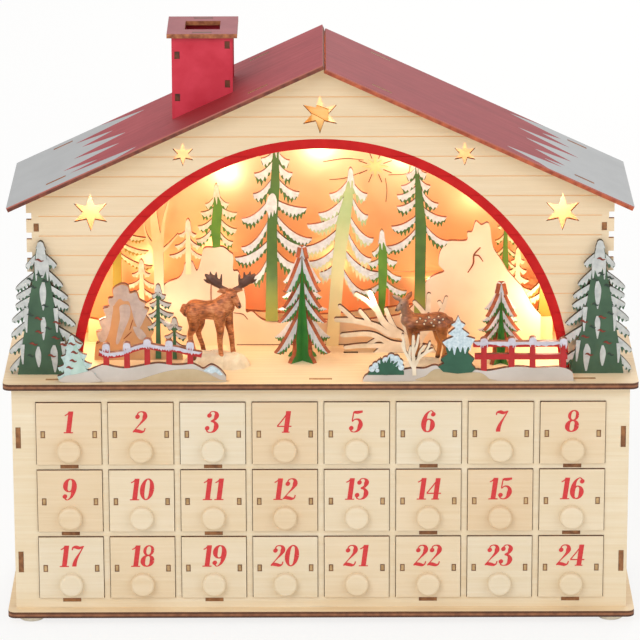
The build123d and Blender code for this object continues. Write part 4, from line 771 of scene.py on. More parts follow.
# Distant forest: a second board behind the first, cut into low hills and firs, sprayed yellow and lime, and seen at
# both ends of the arch.
distant_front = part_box("distant_forest")[0].y / mm
far_hills = [(-150, 16), (-145, 15), (-138, 14), (-126, 17), (-114, 22), (-95, 26), (-77, 24), (-40, 20),
             (0, 18), (40, 22), (77, 26), (100, 22), (117, 20), (135, 19), (150, 19)]
far_paint = painted("far_hill_wash", ("#FFDCA6", "#FFD092"), size=30.0, **forest_scorch)
far_hill = piece("far_hills", [slab(bank(far_hills, steps=5), distant_front, board)], far_paint)
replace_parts(far_hill, "distant_forest")
yellow_fir = painted("yellow_green_spray", ("#8C7E1A", "#988826"), size=9.0, fade=(20, 60, "#8A781E"),
                     **forest_scorch)
cream_snow = painted("cream_snow_dabs", ("#F6E4BC", "#E9CF98"), size=2.5, dark="#8A4A22", light="#B9764A")
stand("far_fir_left", fir(
    [(10, -134.2, -127.8), (60, -133.4, -128), (78, -132.4, -129), (92, -131, -130)],
    [(84, 8, 6), (76, 10, 6), (68, 11, 6)], [(84, 11, 5), (76, 17, 6), (68, 18, 7), (60, 20, 9)],
    depth=5.6, front=distant_front - 0.5), yellow_fir, cream_snow)
for i, (x, height, reach, paint) in enumerate(((119, 88, 11, lime_fir), (127, 62, 9, ivory_fir))):
    steps = np.linspace(0.94, 0.52, 5)
    rows = np.column_stack((steps * height, reach * (1.35 - steps), np.full(5, height * 0.07)))
    stand(f"far_fir_right_{i}", fir(
        [(20, x - 2.4, x + 2.4), (height * 0.6, x - 2, x + 2), (height, x - 0.5, x + 0.5)], rows, rows,
        depth=4.2, front=distant_front - 0.5 - 0.4 * i), paint, cream_snow)
stand("far_fir_right_2", fir(
    [(17, 140.5, 150), (40, 141.5, 149.5), (52, 143, 148)], [(43, 12, 11), (33, 10, 5), (22, 6, 3)],
    [(42, 3, 4), (30, 3, 4)],
    depth=7.0, front=distant_front - 1.3), yellow_fir, cream_snow)

# Star in the sky: an eight-pointed star with its tail, engraved by laser and tinted on the inner face of the back
# wall.
star_x, star_z, star_film, line_film = 35.5, 111.7, 0.4, 0.25
turn = np.linspace(0, 2 * np.pi, 16, endpoint=False) + np.pi / 2
reach = np.where(np.arange(16) % 2 == 0, np.where(np.arange(16) % 4 == 0, 8.6, 6.4), 2.9)
points = np.column_stack((star_x + reach * np.cos(turn), star_z + reach * np.sin(turn)))
star_paint = painted("star_tint", ("#FFDC9E", "#FFCE88"), size=6.0, dark="#9A5A22", light="#B5702F")
piece("sky_star", films([points], sky_face / mm, star_film), star_paint)
ray_lines = [[(star_x + r * np.cos(a), star_z + r * np.sin(a), 0.55) for r in (5.6, 11.4)]
             for a in np.radians((20, 68, 112, 160, 205, 248, 292, 338))]
ray_lines += [
    [(27, 108, 0.4), (16, 104, 0.5), (6, 103, 0.4)], [(28, 116, 0.4), (16, 117, 0.5), (2, 115, 0.4)],
    [(42, 104, 0.4), (43, 96, 0.4), (42.4, 88, 0.4)], [(44, 106, 0.4), (56, 107, 0.4), (58, 112, 0.4)]]
lines = films([ribbon(line, 6) for line in ray_lines], sky_face / mm, line_film)
piece("sky_star_lines", lines, brown_line)

# Large conifers: one board at each end of the house, the right one the mirror of the left. A broad green body with
# hanging boughs, snow on every bough, melted streaks down the body and small scorched slits and dark strokes.
conifer_paint = painted("grey_green_spray", ("#34503B", "#456349"), size=12.0, dark="#2E2A1E", light="#5C4A34")
cold_snow = painted("cold_snow_dabs", ("#CDCFCB", "#B2B5B3"), size=4.0, dark="#4A3A2A", light="#6E5A44")
slit_paint = painted("bared_slits", ("#6A2418", "#8E3E2C"), size=2.0)
stroke_paint = painted("dark_green_strokes", ("#20332A", "#2E4638"), size=3.0)
body_rows = np.array([(0, 157, 191.5), (35.6, 166, 185.5), (68.8, 170.7, 179.5), (78, 171.8, 178.8),
                      (84.8, 173.2, 177.6), (87.2, 174.4, 176.4)])
inner_rows = np.array([(80, 6.8, 8), (69.5, 9, 11), (59.5, 10.5, 8.5), (52, 10, 7.4), (45, 13, 12.5), (32, 15.2, 12),
                       (16, 9, 8)])
outer_rows = np.array([(80, 6.6, 8.6), (68, 12, 11.5), (58.5, 10, 7), (52, 9.4, 6.6), (46, 10.8, 10.5), (36, 9.6, 10),
                       (25, 9.3, 10), (13, 7.2, 10)])
streaks = [
    [(175.2, 85.4, 3.6), (175.2, 78, 6.4), (174.6, 71, 6), (174.6, 64, 1.2)],
    [(178, 76, 2.6), (178.2, 70, 2), (178.4, 62, 0.6)], [(171.8, 76, 2.6), (171.4, 70, 2.2), (171.2, 62, 0.6)],
    [(174, 61, 1.6), (174.4, 56, 4), (174.4, 50, 3.4), (174.4, 42.6, 0.6)],
    [(174.4, 38, 1.4), (174.5, 34, 3.4), (174.6, 29, 2.6), (174.6, 23, 0.6)],
    [(168, 19.6, 1.4), (168.2, 15, 4.4), (167.8, 8, 3.4), (167.8, 1.6, 1)],
    [(178, 18.6, 1.2), (178.2, 14, 3.6), (178, 9, 2.8), (178, 5, 0.8)],
    [(166.6, 44, 3), (166.2, 36, 2.2), (166, 28, 0.8)], [(185, 44, 2.8), (185.4, 36, 2.2), (185.2, 28, 0.8)],
    [(188, 20, 2.8), (188.2, 13, 2), (188, 7, 0.8)], [(162.6, 22, 2.8), (162, 14, 2), (161.6, 8, 0.8)],
]
marks = [(176.1, 75.1), (177.4, 36.8), (177.1, 27.9), (166.8, 24), (165.8, 34.1), (169.5, 12.2), (181, 20)]
strokes = [(182.2, 62.6), (180.4, 57.6), (173.1, 45.2), (172.8, 61.5), (183, 12.2), (176.4, 65.4), (182.6, 39.3),
           (171.4, 30.4)]
conifer_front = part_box("right_conifer")[0].y / mm
layer_step, cut_film = 0.02, 0.45
for side, name in ((1, "right_conifer"), (-1, "left_conifer")):
    rows = body_rows if side > 0 else np.column_stack((body_rows[:, 0], -body_rows[:, 2], -body_rows[:, 1]))
    hands = (inner_rows, outer_rows) if side > 0 else (outer_rows, inner_rows)
    wood, snow = fir(rows, *hands, depth=8.4, front=conifer_front, tip=3.0, cover=0.8, blunt=2.0, bend=0.8)
    for i, line in enumerate(streaks):
        proud = film + layer_step * (i + 1)
        snow += films([ribbon(np.array(line) * (side, 1, 1))], conifer_front, proud)
    conifer = stand(name + "_board", (wood, snow), conifer_paint, cold_snow)
    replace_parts(conifer, name)
    for kind, spots, paint, length in (("slits", marks, slit_paint, 2.6), ("strokes", strokes, stroke_paint, 2.1)):
        wave = np.array([(-length, 0.5, 0.3), (-length / 3, 0.9, 1.3), (length / 3, -0.2, 1.0), (length, 0.2, 0.3)])
        cuts = [ribbon(wave + (side * x, z, 0), 5) for x, z in spots]
        piece(f"{name}_{kind}", films(cuts, conifer_front, cut_film), paint)

# Fences: two boards along the front of the deck, each with red posts and rails, a snow bank, and small plants cut
# in the same sheet. Snow paint lies thick on the rails and the posts' tops.


def drape(points, depth, pitch=1.3, phase=0.0):
    """Strip of snow that hangs from a line: its upper edge is the smooth line, its lower edge drips once every pitch,
    and it closes at both ends."""
    line = smooth(points, 10)
    drip = np.sin(np.pi * line[:, 0] / (2 * pitch) + phase) ** 2 * (0.7 + 0.3 * np.sin(line[:, 0] * 1.3 + phase))
    ends = np.sqrt(np.clip(1 - np.linspace(-1, 1, len(line)) ** 10, 0, None))
    lower = line[:, 1] - depth * (0.5 + 0.5 * drip) * ends
    return np.vstack((line, np.column_stack((line[:, 0], lower))[-2:0:-1]))


fence_front, rail_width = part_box("left_fence")[0].y / mm, 3.4
fence_red = painted("fence_red_paint", ("#AA1719", "#B62324"), size=5.0, dark="#6A1E16", light="#8E3A24")
lilac_snow = painted("lilac_snow_dabs", ("#D5D0DA", "#BEB8C4"), size=3.0, dark="#6A3A2A", light="#8E5A44")
bank_paint = painted("snow_bank_wash", ("#CFC6BE", "#C0B6AC"), size=22.0)
sand_paint = painted("sand_wash", ("#CBB693", "#BCA682"), size=12.0)
teal_plant = painted("teal_wash", ("#A6C4B8", "#C0D6CC"), size=6.0)
teal_snow = painted("teal_snow_dabs", ("#C6D8D4", "#A9C2BE"), size=3.0, dark="#5A3A2A", light="#7E5A44")
green_plant = painted("deep_green_wash", ("#24513C", "#306048"), size=8.0)
icy_snow = painted("icy_snow_dabs", ("#DDE8EC", "#A9C0CA"), size=1.6)
# each fence: name, skyline of its bank, posts with their tops, rails, and the bare patch in its bank
fences = (
    ("left_fence",
     [(-161, 1.5), (-152, 5.5), (-144.6, 8.1), (-136.6, 11.2), (-129, 9.8), (-121.6, 9.1), (-109.6, 11.2),
      (-101.5, 12.3), (-93.5, 11.2), (-87, 11.2), (-80.5, 11.8), (-76.5, 10), (-73.5, 8.6), (-68.5, 11.2),
      (-63.1, 8.1), (-59.5, 3.5)],
     [(-134.6, 25.4), (-121.6, 26), (-108.8, 28.4), (-95.1, 27.4), (-81.8, 26.4)],
     [[(-139, 19), (-133.5, 17.4), (-124.5, 18.4), (-117.4, 21.4), (-109.4, 23.4), (-103.4, 22.4), (-97.4, 21.4),
       (-91.4, 21.4), (-83.5, 19.4), (-74.5, 17.6)]],
     [(-122, 0.4), (-114.7, 1.6), (-106, 4.4), (-97, 7), (-88, 8.4), (-78, 8.2), (-70, 5), (-63, 1.4), (-61, 0.4)]),
    ("right_fence",
     [(26.6, 1.2), (28.6, 4), (34, 5.4), (43.2, 6), (57.2, 8.4), (65.2, 8.4), (72.2, 10.5), (80.1, 7.2), (96, 7.7),
      (104.8, 6.7), (115.4, 8.6), (124.2, 9.5), (136.6, 8.6), (150.6, 9.1), (157.7, 6.3), (159, 1.5)],
     [(102.6, 28.4), (120, 28.6), (133.2, 29), (152.4, 28.2)],
     [[(95.8, 24), (110, 24.2), (125, 24), (140, 24.2), (155, 24)],
      [(96.8, 15.9), (115, 16), (135, 15.8), (155, 16)]],
     [(62, 0.4), (66, 3.6), (70, 7), (74, 8.2), (81.6, 5.8), (92.3, 6), (101, 5.4), (106, 1.6), (108, 0.4)]),
)
post_line = np.array([(-1.9, 0), (1.9, 0), (1.7, 1), (-1.7, 1)])
post_foot, post_cut, cap_depth, cap_pitch = 5, 2, 7.0, 0.7
cap_line = np.array([(-2.4, -2.4), (-1.9, -0.7), (0, 0), (1.9, -0.7), (2.4, -2.4)])
for name, skyline, posts, rails, bare in fences:
    ground = piece(name + "_bank", [slab(bank(skyline), fence_front, board)], bank_paint)
    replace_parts(ground, name)
    red, white = [], []
    for x, top in posts:
        post = post_line * (1, top - post_cut - post_foot) + (x, post_foot)
        red.append(slab(post, fence_front + 0.1, board - 0.2))
        cap = drape(cap_line + (x, top), cap_depth, cap_pitch, x)
        white.append(slab(cap, fence_front - 0.35, board + 0.7))
    for i, line in enumerate(rails):
        bar = [(x, z, rail_width) for x, z in line]
        red.append(slab(ribbon(bar), fence_front + 0.25, board - 0.5))
        if i == 0:
            white.append(slab(drape(np.array(line) + (0, 1.9), rail_width, 0.8), fence_front - 0.1, board + 0.2))
    piece(name + "_rails", red, fence_red)
    piece(name + "_snow", white, lilac_snow)
    piece(name + "_sand", films([closed(bare)], fence_front), sand_paint)

# Plants in the fence boards' own sheet: a small teal fir with a drift at its foot, an icy fir, a frosted bush and a
# coral-like shrub, each washed with thin paint and dabbed with snow.
stand("teal_tree", fir(
    [(0, -162, -145), (10, -160, -147.6), (20, -158.2, -151.6), (30.6, -156.8, -155)],
    [(28.6, 4, 4), (22, 5, 5), (15, 6, 5), (8, 5, 4)], [(29, 4.8, 4), (23, 6, 5), (17, 7, 5), (10, 6.4, 4)],
    depth=5.4, front=fence_front - 0.5, tip=3.5, cover=0.8), teal_plant, teal_snow)
skirt = [(77, 6.4), (73.7, 9.8), (77.6, 12), (75.6, 15), (79.6, 18), (78.4, 21.6), (82, 26), (91, 26), (93.6, 21.6),
         (92.4, 18.4), (96.6, 14.6), (94.6, 11.6), (97.4, 8.2), (95, 6), (86, 5.2)]
crown = [(78.8, 23), (76.4, 26), (79.4, 27.8), (83.6, 29.6), (80, 31.4), (82.2, 33.4), (84.6, 35.4), (81.8, 37.4),
         (84.4, 39), (86.2, 43.2), (88, 39.2), (90.8, 37.4), (88.4, 34.8), (93.4, 31), (91, 29.8), (97, 28),
         (94.6, 24)]
melt_x = np.linspace(94, 79.4, 57)
melt_z = 23 - 6 * np.sin(np.pi * (melt_x - 79) / 3.4) ** 2 * (0.7 + 0.3 * np.sin(melt_x))
crown = np.vstack((crown, np.column_stack((melt_x, melt_z))))
piece("icy_fir", [slab(skirt, fence_front - 0.5, board)], green_plant)
piece("icy_fir_snow", [slab(crown, fence_front - 0.8, board)], icy_snow)
frost = [(-160, 3), (-161.4, 10), (-160, 18), (-158, 27), (-156.2, 30), (-154.8, 27), (-155.6, 19), (-156.6, 11),
         (-157.4, 4)]
piece("teal_tree_frost", [slab(closed(frost), fence_front - 0.68, 0.2)], teal_snow)
drift = [(-163, 0.4), (-160.8, 4.2), (-154, 5.4), (-147, 7.2), (-143.4, 7.4), (-141, 4), (-139.4, 0.4)]
drift_paint = painted("snow_drift_wash", ("#CFC6BE", "#C0B6AC"), size=22.0, dark="#B9AFA6", light="#C8BEB5")
piece("corner_drift", [slab(closed(drift), fence_front - 0.95, 0.5)], drift_paint)
slits = [(-161.3, 24.4), (-156, 24.9), (-154.4, 19.3), (-155.4, 13.8), (-157.6, 9.3)]
wave = np.array([(-2.2, 0.4, 0.4), (-0.6, 1.0, 1.5), (1.0, 0, 1.1), (2.4, 0.4, 0.3)])
cuts = [slab(ribbon(wave + (x, z, 0), 5), fence_front - 0.72, 0.22) for x, z in slits]
piece("teal_tree_slits", cuts, slit_paint)
bush_line = [(29.5, 4.8), (32, 7.6), (36, 9.2), (41, 10.4), (46, 10.8), (50, 9.2), (52.4, 6.6)]
sprays, bush_root = [bank(bush_line, 4.4)], np.array((41, 5))
for turn, reach in zip(np.radians(np.linspace(-72, 66, 11)), (10, 9, 11, 10, 12, 10, 13, 11, 12, 10, 11)):
    tip = bush_root + (reach * np.sin(turn), 0.9 * reach * np.cos(turn))
    middle = (tip + bush_root) / 2
    sprays.append(ribbon([(*bush_root, 1.6), (*middle, 3.0), (*tip, 0.4)], 6))
fronts = [fence_front - 0.3 - 0.03 * i - (0.6 if 3 < i < 10 else 0) for i in range(len(sprays))]
leaves = [slab(spray, front, board) for spray, front in zip(sprays, fronts)]
piece("frosted_bush", leaves, green_plant)
lumps = [(32.2, 8.4, 1.9), (34.6, 10.6, 2.1), (37.6, 12.2, 2.2), (41, 14.2, 2.2), (44.4, 16, 2.4), (47.6, 15, 2.3),
         (49.8, 12.6, 2.1), (50.6, 9.4, 1.9), (39.4, 10.4, 1.5), (43, 12.4, 1.7), (47, 11.6, 1.6), (35.6, 7.6, 1.3)]
dabs = [slab(disc(*lump, 14), fence_front - 0.7 - 0.03 * i, board) for i, lump in enumerate(lumps)]
piece("frosted_bush_snow", dabs, icy_snow)
drift = [(-73.6, 7.4), (-71, 9.2), (-68.6, 10.6), (-66.2, 9.8), (-63.4, 7.6), (-61.6, 5), (-63.6, 4.6), (-66, 6.4),
         (-68.4, 5.6), (-71, 6.6)]
piece("blue_drift", films([closed(drift)], fence_front, 0.3), icy_snow)


def limbs(lines, front, thickness):
    """Cut twigs: a ribbon along each line with a round tip, each a hair behind the one before."""
    shapes = []
    for i, line in enumerate(lines):
        back = 0.05 * i
        shapes.append(slab(ribbon(line), front + back, thickness - 2 * back))
        x, z, width = line[-1]
        shapes.append(slab(disc(x, z, width / 2, 12), front + back + 0.02, thickness - 2 * back - 0.04))
    return shapes


shrub = [
    [(59, 4, 2.6), (58.6, 12, 2.4), (58, 20, 2), (58.2, 30, 1.6)],
    [(58.8, 8, 2.2), (55.4, 15, 1.9), (52.4, 21, 1.7), (51.2, 25.4, 1.5)],
    [(52.8, 20, 1.8), (52, 26, 1.6), (51.6, 30.6, 1.4)], [(58.4, 18, 1.8), (60.4, 24, 1.6), (61.6, 30.4, 1.4)],
    [(59, 10, 2.2), (62, 15.6, 1.9), (66, 18.8, 1.7), (70, 21, 1.5)],
    [(65.4, 18.4, 1.7), (67.4, 22, 1.5), (68.6, 25.4, 1.4)], [(61.4, 14.6, 1.8), (62.4, 19.4, 1.6), (65, 23.4, 1.4)],
    [(56.4, 13, 1.7), (55.8, 18, 1.5), (56.4, 22.4, 1.3)],
]
pale_limb = painted("pale_limb_wash", ("#EFE0C8", "#DCC8AA"), size=6.0)
piece("coral_shrub", limbs(shrub, fence_front - 0.4, board), pale_limb)

# Rock board: a rough rock with two small firs on one bank, cut from one sheet behind the left fence and washed
# orange-brown, with snow lying in its hollows.
rock_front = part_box("rock_board")[0].y / mm
rock_line = [
    (-144.4, 2), (-143.4, 10.5), (-141.6, 12.6), (-143, 18.6), (-139.4, 20), (-141, 26.4), (-136.6, 28.8),
    (-138.4, 34.6), (-134.4, 36), (-135.2, 41), (-131.8, 41.8), (-132.1, 47.4), (-126, 50.8), (-122, 49.3),
    (-121, 44.8), (-117, 45.6), (-115, 40.3), (-111, 38), (-112, 35), (-109, 33.8), (-111, 29.6), (-108, 25.4),
    (-106.2, 19), (-108, 14.6), (-105.6, 8), (-99, 7.4), (-94, 6.4), (-89.6, 6), (-88, 1.5)]
rock_paint = painted("rock_wash", ("#C29A70", "#B2865C"), size=14.0)
rock = piece("rock", [slab(bank(rock_line, steps=3), rock_front, board)], rock_paint)
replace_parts(rock, "rock_board")
patches = [
    [(-131.6, 47.2), (-126.4, 50.2), (-122.4, 48.6), (-121.4, 44.4), (-117.2, 45), (-115.2, 40), (-111.6, 37.6),
     (-112.2, 34.8), (-110, 33.2), (-111.6, 28.6), (-115.4, 21.2), (-117.9, 24.6), (-119.5, 30.6), (-120.7, 35.7),
     (-121.9, 39.1), (-125.2, 39.4), (-127.6, 41), (-130.1, 38.3), (-131.7, 36.1), (-134.2, 36.4), (-134.8, 40.6),
     (-131.6, 42)],
    [(-127.6, 36.1), (-121.8, 36.6), (-121.2, 29.7), (-125.2, 19.5), (-128.9, 11), (-130.5, 11.9), (-129.3, 19.5),
     (-127.6, 28)],
    [(-134.2, 35.8), (-131.9, 35.4), (-132.9, 28), (-134.5, 19.5), (-137.4, 12.7), (-141, 12.8), (-142.4, 18),
     (-139.4, 20), (-140.4, 25.8), (-136.8, 28.6), (-138, 34)],
    [(-119.5, 22.1), (-114.4, 20.8), (-111, 15.3), (-115.6, 14)],
]
dabs = [films([closed(patch)], rock_front, film + layer_step * i)[0] for i, patch in enumerate(patches)]
piece("rock_snow", dabs, painted("rock_snow_dabs", ("#BDB4B0", "#A89E9A"), size=4.0))
scratches = [[(-125.6, 14, 0.4), (-123, 16.4, 0.7), (-120.4, 19, 0.4)],
             [(-121.6, 20, 0.4), (-120.4, 24, 0.6), (-119.4, 27, 0.4)], [(-143, 10.8, 0.5), (-140.6, 12.4, 0.6)],
             [(-138.6, 34.6, 0.5), (-135, 35.4, 0.6)], [(-141, 26.2, 0.5), (-137.4, 28.2, 0.6)]]
piece("rock_scratches", films([ribbon(mark, 6) for mark in scratches], rock_front, 0.24), brown_line)
rock_green = painted("rock_fir_green", ("#2B5638", "#386844"), size=7.0)
stand("rock_fir_tall", fir(
    [(1, -105.3, -101.7), (40, -104.3, -102.3), (50, -103.6, -102.8)],
    [(47, 3.6, 3.4), (41.5, 4.6, 4.2), (35, 5.2, 4.8), (28, 5.6, 5.4)],
    [(47, 4.4, 4), (41.5, 7.6, 4), (35.4, 8.8, 4.6), (29, 11.6, 6)],
    depth=5.2, front=rock_front - 0.8, tip=3.5), rock_green, cold_snow)
stand("rock_fir_small", fir(
    [(1, -94.3, -91.7), (22, -93.8, -92.4), (28, -93.4, -92.8)],
    [(25.6, 4, 3.4), (20, 5.6, 4), (13, 5.6, 4.4)], [(25.6, 4.6, 3.8), (20, 7, 4.2), (13.4, 6.4, 4.4)],
    depth=4.4, front=rock_front - 1.4, tip=3.0), rock_green, cold_snow)

# Branch bush: thick bare limbs cut by laser from one sheet, washed in pale paint and set in the deck by a tab at its
# foot.
bush_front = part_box("branch_bush")[0].y / mm
bush_limbs = [
    [(64, 3, 5), (52, 12, 4.6), (41, 20, 4.2), (35.8, 30, 3.6), (31.7, 40.6, 3)],
    [(36.6, 28, 3.4), (30, 34.6, 3), (23, 39.2, 2.6)],
    [(52, 12, 4.2), (44, 12.6, 3.8), (35.6, 18, 3.6), (22, 21.4, 3.4), (10, 22.2, 2.6)],
    [(22, 21.4, 3), (16.6, 27, 2.8), (12.4, 31, 2.4)], [(32, 19, 3.2), (28.6, 24, 2.8), (25.4, 28, 2.4)],
    [(60, 5, 4), (46, 6, 3.8), (32, 12.4, 3.4), (14, 11.8, 2.6)],
    [(48, 4, 3.8), (38, 4.6, 3.4), (26, 4.6, 3), (16, 3.6, 2.4)], [(48, 15, 3.4), (44.6, 22, 3), (42, 29, 2.6)],
    [(58, 7, 3.6), (54.6, 16, 3.2), (52, 25, 2.6)], [(62, 4, 4.4), (66, 14, 4), (68.4, 25.4, 3.4), (69.4, 38.5, 2.8)],
    [(68, 24, 3.2), (64, 29.4, 2.8), (60.2, 33.6, 2.6)],
    [(66, 12, 3.6), (74, 22, 3.2), (78.6, 30, 2.8), (80.6, 36.4, 2.4)], [(78.2, 29.4, 2.6), (76, 33.4, 2.4)],
    [(40, 9, 2.8), (36, 8.6, 2.6), (30.4, 5.4, 2.2)],
]
foot = slab([(34, 0), (74, 0), (72, 4.4), (64, 6), (50, 5.6), (38, 3.6)], bush_front + 0.2, board - 0.4)
bush = piece("branch_bush_limbs", [foot] + limbs(bush_limbs, bush_front - 0.3, board), pale_limb)
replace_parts(bush, "branch_bush")

# Cross-lapped firs: two cut boards slid into each other, sprayed bright green with snow on both faces. Their cut
# edges are scorched red-brown and show broadly because the boards stand at an angle.


def turned(slabs, angle, place):
    """Slabs turned about the upright axis and moved to a place on the deck."""
    spin = np.array([(np.cos(angle), np.sin(angle), 0), (-np.sin(angle), np.cos(angle), 0), (0, 0, 1)])
    return [(points @ spin + (*place, 0), faces) for points, faces in slabs]


turns = (np.pi / 4, -np.pi / 4)
lapped = 3.5
lapped_paints = [painted(f"bright_green_spray_{i}", ("#2C6A2A", "#3A8232"), size=10.0,
                         facing=(-np.sin(a), np.cos(a), 0), dark="#7A3418", light="#A8542A")
                 for i, a in enumerate(turns)]
lapped_snows = [painted(f"bright_snow_dabs_{i}", ("#D6D6D8", "#BDBEC2"), size=2.5, facing=(-np.sin(a), np.cos(a), 0))
                for i, a in enumerate(turns)]
# each fir: place on the deck, trunk rows, bough rows, share of its fall that a bough hangs, flare of the foot
lapped_firs = (
    ("centre_tree", (-11.6, -10.0), [(0, 6.5), (15, 7.2), (47, 3.7), (72, 1.6), (75.4, 0.6)],
     [(73, 14.4, 24), (54, 13.5, 15.5), (43, 17, 13.5), (31, 18.6, 20.8)], 0.95, 11.5),
    ("right_tree", (114.6, -16.0), [(0, 5), (13, 5.6), (33, 3), (50, 1.4), (53, 0.5)],
     [(51, 12, 17.7), (37, 12.8, 12.4), (29, 15.5, 11.3)], 0.95, 8.5),
)
for name, place, rows, boughs, depth, flare in lapped_firs:
    trunk = [(z, -half, half) for z, half in rows]
    falls = depth * np.array([fall for _, _, fall in boughs])
    wood, snow = fir(trunk, boughs, boughs, falls, -lapped / 2, tip=4.4, cover=0.7, both=True, blunt=2.7,
                     board=lapped, bend=1.25, taper=0.8)
    hem = np.array([(flare, 0), (flare * 0.86, 2.6), (flare * 0.66, 4.6), (flare * 0.62, 7), (rows[0][1] * 0.9, 10)])
    hem = np.vstack((hem * (-1, 1), hem[::-1]))
    wood.append(slab(hem, -lapped / 2 + 0.1, lapped - 0.2))
    for i, angle in enumerate(turns):
        half_board = piece(f"{name}_board_{i}", turned(wood, angle, place), lapped_paints[i])
        piece(f"{name}_snow_{i}", turned(snow, angle, place), lapped_snows[i])
        if i == 0:
            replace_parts(half_board, name)

# Deer: a stag and a doe of cast resin, painted by hand in browns with a rough coat, glued by their hooves to low
# snow mounds. The stag's antlers are broad palms with short points.


def tube(rows, count=14):
    """Limb: rings about a smooth line through rows of x, y, height and radius, closed by shrinking rings that make
    round ends."""
    line = smooth(rows, 6)
    run = np.gradient(line[:, :3], axis=0)
    run /= np.linalg.norm(run, axis=1, keepdims=True)
    round_off = np.radians((80.0, 50.0, 25.0))[:, None]
    first, last = line[0], line[-1]
    starts = np.hstack((first[:3] - run[0] * first[3] * np.sin(round_off), first[3] * np.cos(round_off)))
    ends = np.hstack((last[:3] + run[-1] * last[3] * np.sin(round_off), last[3] * np.cos(round_off)))[::-1]
    line = np.vstack((starts, line, ends))
    run = np.vstack((np.repeat(run[:1], 3, axis=0), run, np.repeat(run[-1:], 3, axis=0)))
    side = np.cross(run, (0.35, 0.9, 0.25))
    side /= np.linalg.norm(side, axis=1, keepdims=True)
    other = np.cross(run, side)
    turn = np.linspace(0, 2 * np.pi, count, endpoint=False)[None, :, None]
    ring = side[:, None, :] * np.cos(turn) + other[:, None, :] * np.sin(turn)
    points = (line[:, None, :3] + ring * line[:, None, 3:]).reshape(-1, 3)
    index = np.arange(len(points)).reshape(-1, count)
    after = np.roll(index, -1, axis=1)
    quads = np.stack((index[:-1], after[:-1], after[1:], index[1:]), axis=-1).reshape(-1, 4)
    return points, [index[0][::-1].tolist(), *quads.tolist(), index[-1].tolist()]


def cast(name, rows, place, material):
    """Figure cast in one: limbs set on a place of the deck, melted together on a fine grid and softened."""
    made = piece(name, [tube(np.array(limb, float) + (0, place, deck_top, 0)) for limb in rows], material)
    melt = made.modifiers.new("melt", "REMESH")
    melt.mode, melt.voxel_size = "VOXEL", 0.42 * mm
    soften = made.modifiers.new("soften", "SMOOTH")
    soften.iterations = 3
    solid = bpy.data.meshes.new_from_object(made.evaluated_get(bpy.context.evaluated_depsgraph_get()))
    solid.shade_smooth()
    made.modifiers.clear()
    made.data = solid
    return made


def coat(name, hues, zones):
    """Hand-painted coat: three browns mottled over 7 mm with hair strokes 1 mm wide, and other colours that fade in
    along an axis between two places."""
    coords = new_material(name)
    cloud = add("TexNoise", {"Vector": coords["Object"], "Scale": 1 / (7 * mm), "Detail": 3.0})["Fac"]
    strokes = add("Mapping", {"Vector": coords["Object"], "Scale": (300.0, 900.0, 900.0)})[0]
    hair = add("TexNoise", {"Vector": strokes, "Scale": 1.0, "Detail": 3.0})["Fac"]
    mixed = add("Mix", {0: 0.5, 2: cloud, 3: hair})[0]
    colour = add("ValToRGB", {0: mixed}, stops=((0.36, hues[0]), (0.5, hues[1]), (0.66, hues[2])))[0]
    place = add("SeparateXYZ", {0: coords["Object"]})
    for axis, start, end, code in zones:
        share = add("MapRange", {"Value": place[axis], "From Min": start * mm, "From Max": end * mm})[0]
        colour = add("Mix", {0: share, 6: colour, 7: linear(code)}, data_type="RGBA")[2]
    return finish(colour, roughness=0.42, height=hair, depth=0.6 * mm)


stag_coat = coat("stag_brown_acrylic", ("#5A2C14", "#A85C2A", "#D8905A"), (
    ("Z", deck_top + 49.6, deck_top + 52, "#4A2614"), ("Z", deck_top + 7, deck_top + 5, "#4A2C1C")))
stag_limbs = [
    [(-84, 0, 36.4, 4.4), (-80, 0, 37.2, 6.4), (-72, 0, 36.8, 6), (-64.5, 0, 37.2, 7), (-59.8, 0, 39.4, 6)],
    [(-62, 0, 40, 6.2), (-58.6, -0.6, 44.4, 4.8), (-56.6, -1, 47.4, 3.6)],
    [(-57, -0.8, 48, 3.3), (-54.6, -2.2, 45.4, 2.8), (-52.6, -3.4, 42.2, 2.1), (-51.6, -4, 40.4, 1.8)],
    [(-80.4, -3.2, 36, 5.2), (-80.4, -3.6, 27, 3.2), (-82.6, -3.6, 20.6, 1.9), (-80.6, -3.6, 12, 1.5),
     (-79.8, -3.8, 5.2, 1.8)],
    [(-77.6, 3.2, 36, 5), (-76.4, 3.6, 27, 3.1), (-77.6, 3.6, 20.6, 1.9), (-75, 3.6, 12, 1.5), (-74, 3.4, 5.2, 1.8)],
    [(-64, -3.4, 36, 4.8), (-63.6, -3.8, 24, 2.6), (-63.8, -3.8, 18, 1.9), (-63.4, -3.8, 11, 1.6),
     (-62.8, -4, 5.2, 1.9)],
    [(-60, 3, 36, 4.6), (-57.6, 3.4, 24, 2.5), (-56.6, 3.6, 18, 1.9), (-56, 3.6, 11, 1.6), (-55.2, 3.4, 5.2, 1.9)],
    [(-86.4, 0, 39.4, 1.6), (-88.2, 0, 36.4, 1.1)],
    [(-59.6, -0.6, 48.8, 1.3), (-62.6, -1, 49.6, 1.4), (-65, -1.2, 49.2, 0.6)],
    [(-54.4, 0, 49, 1.3), (-51.6, 0, 50, 1.4), (-49.4, 0, 49.8, 0.6)],
]
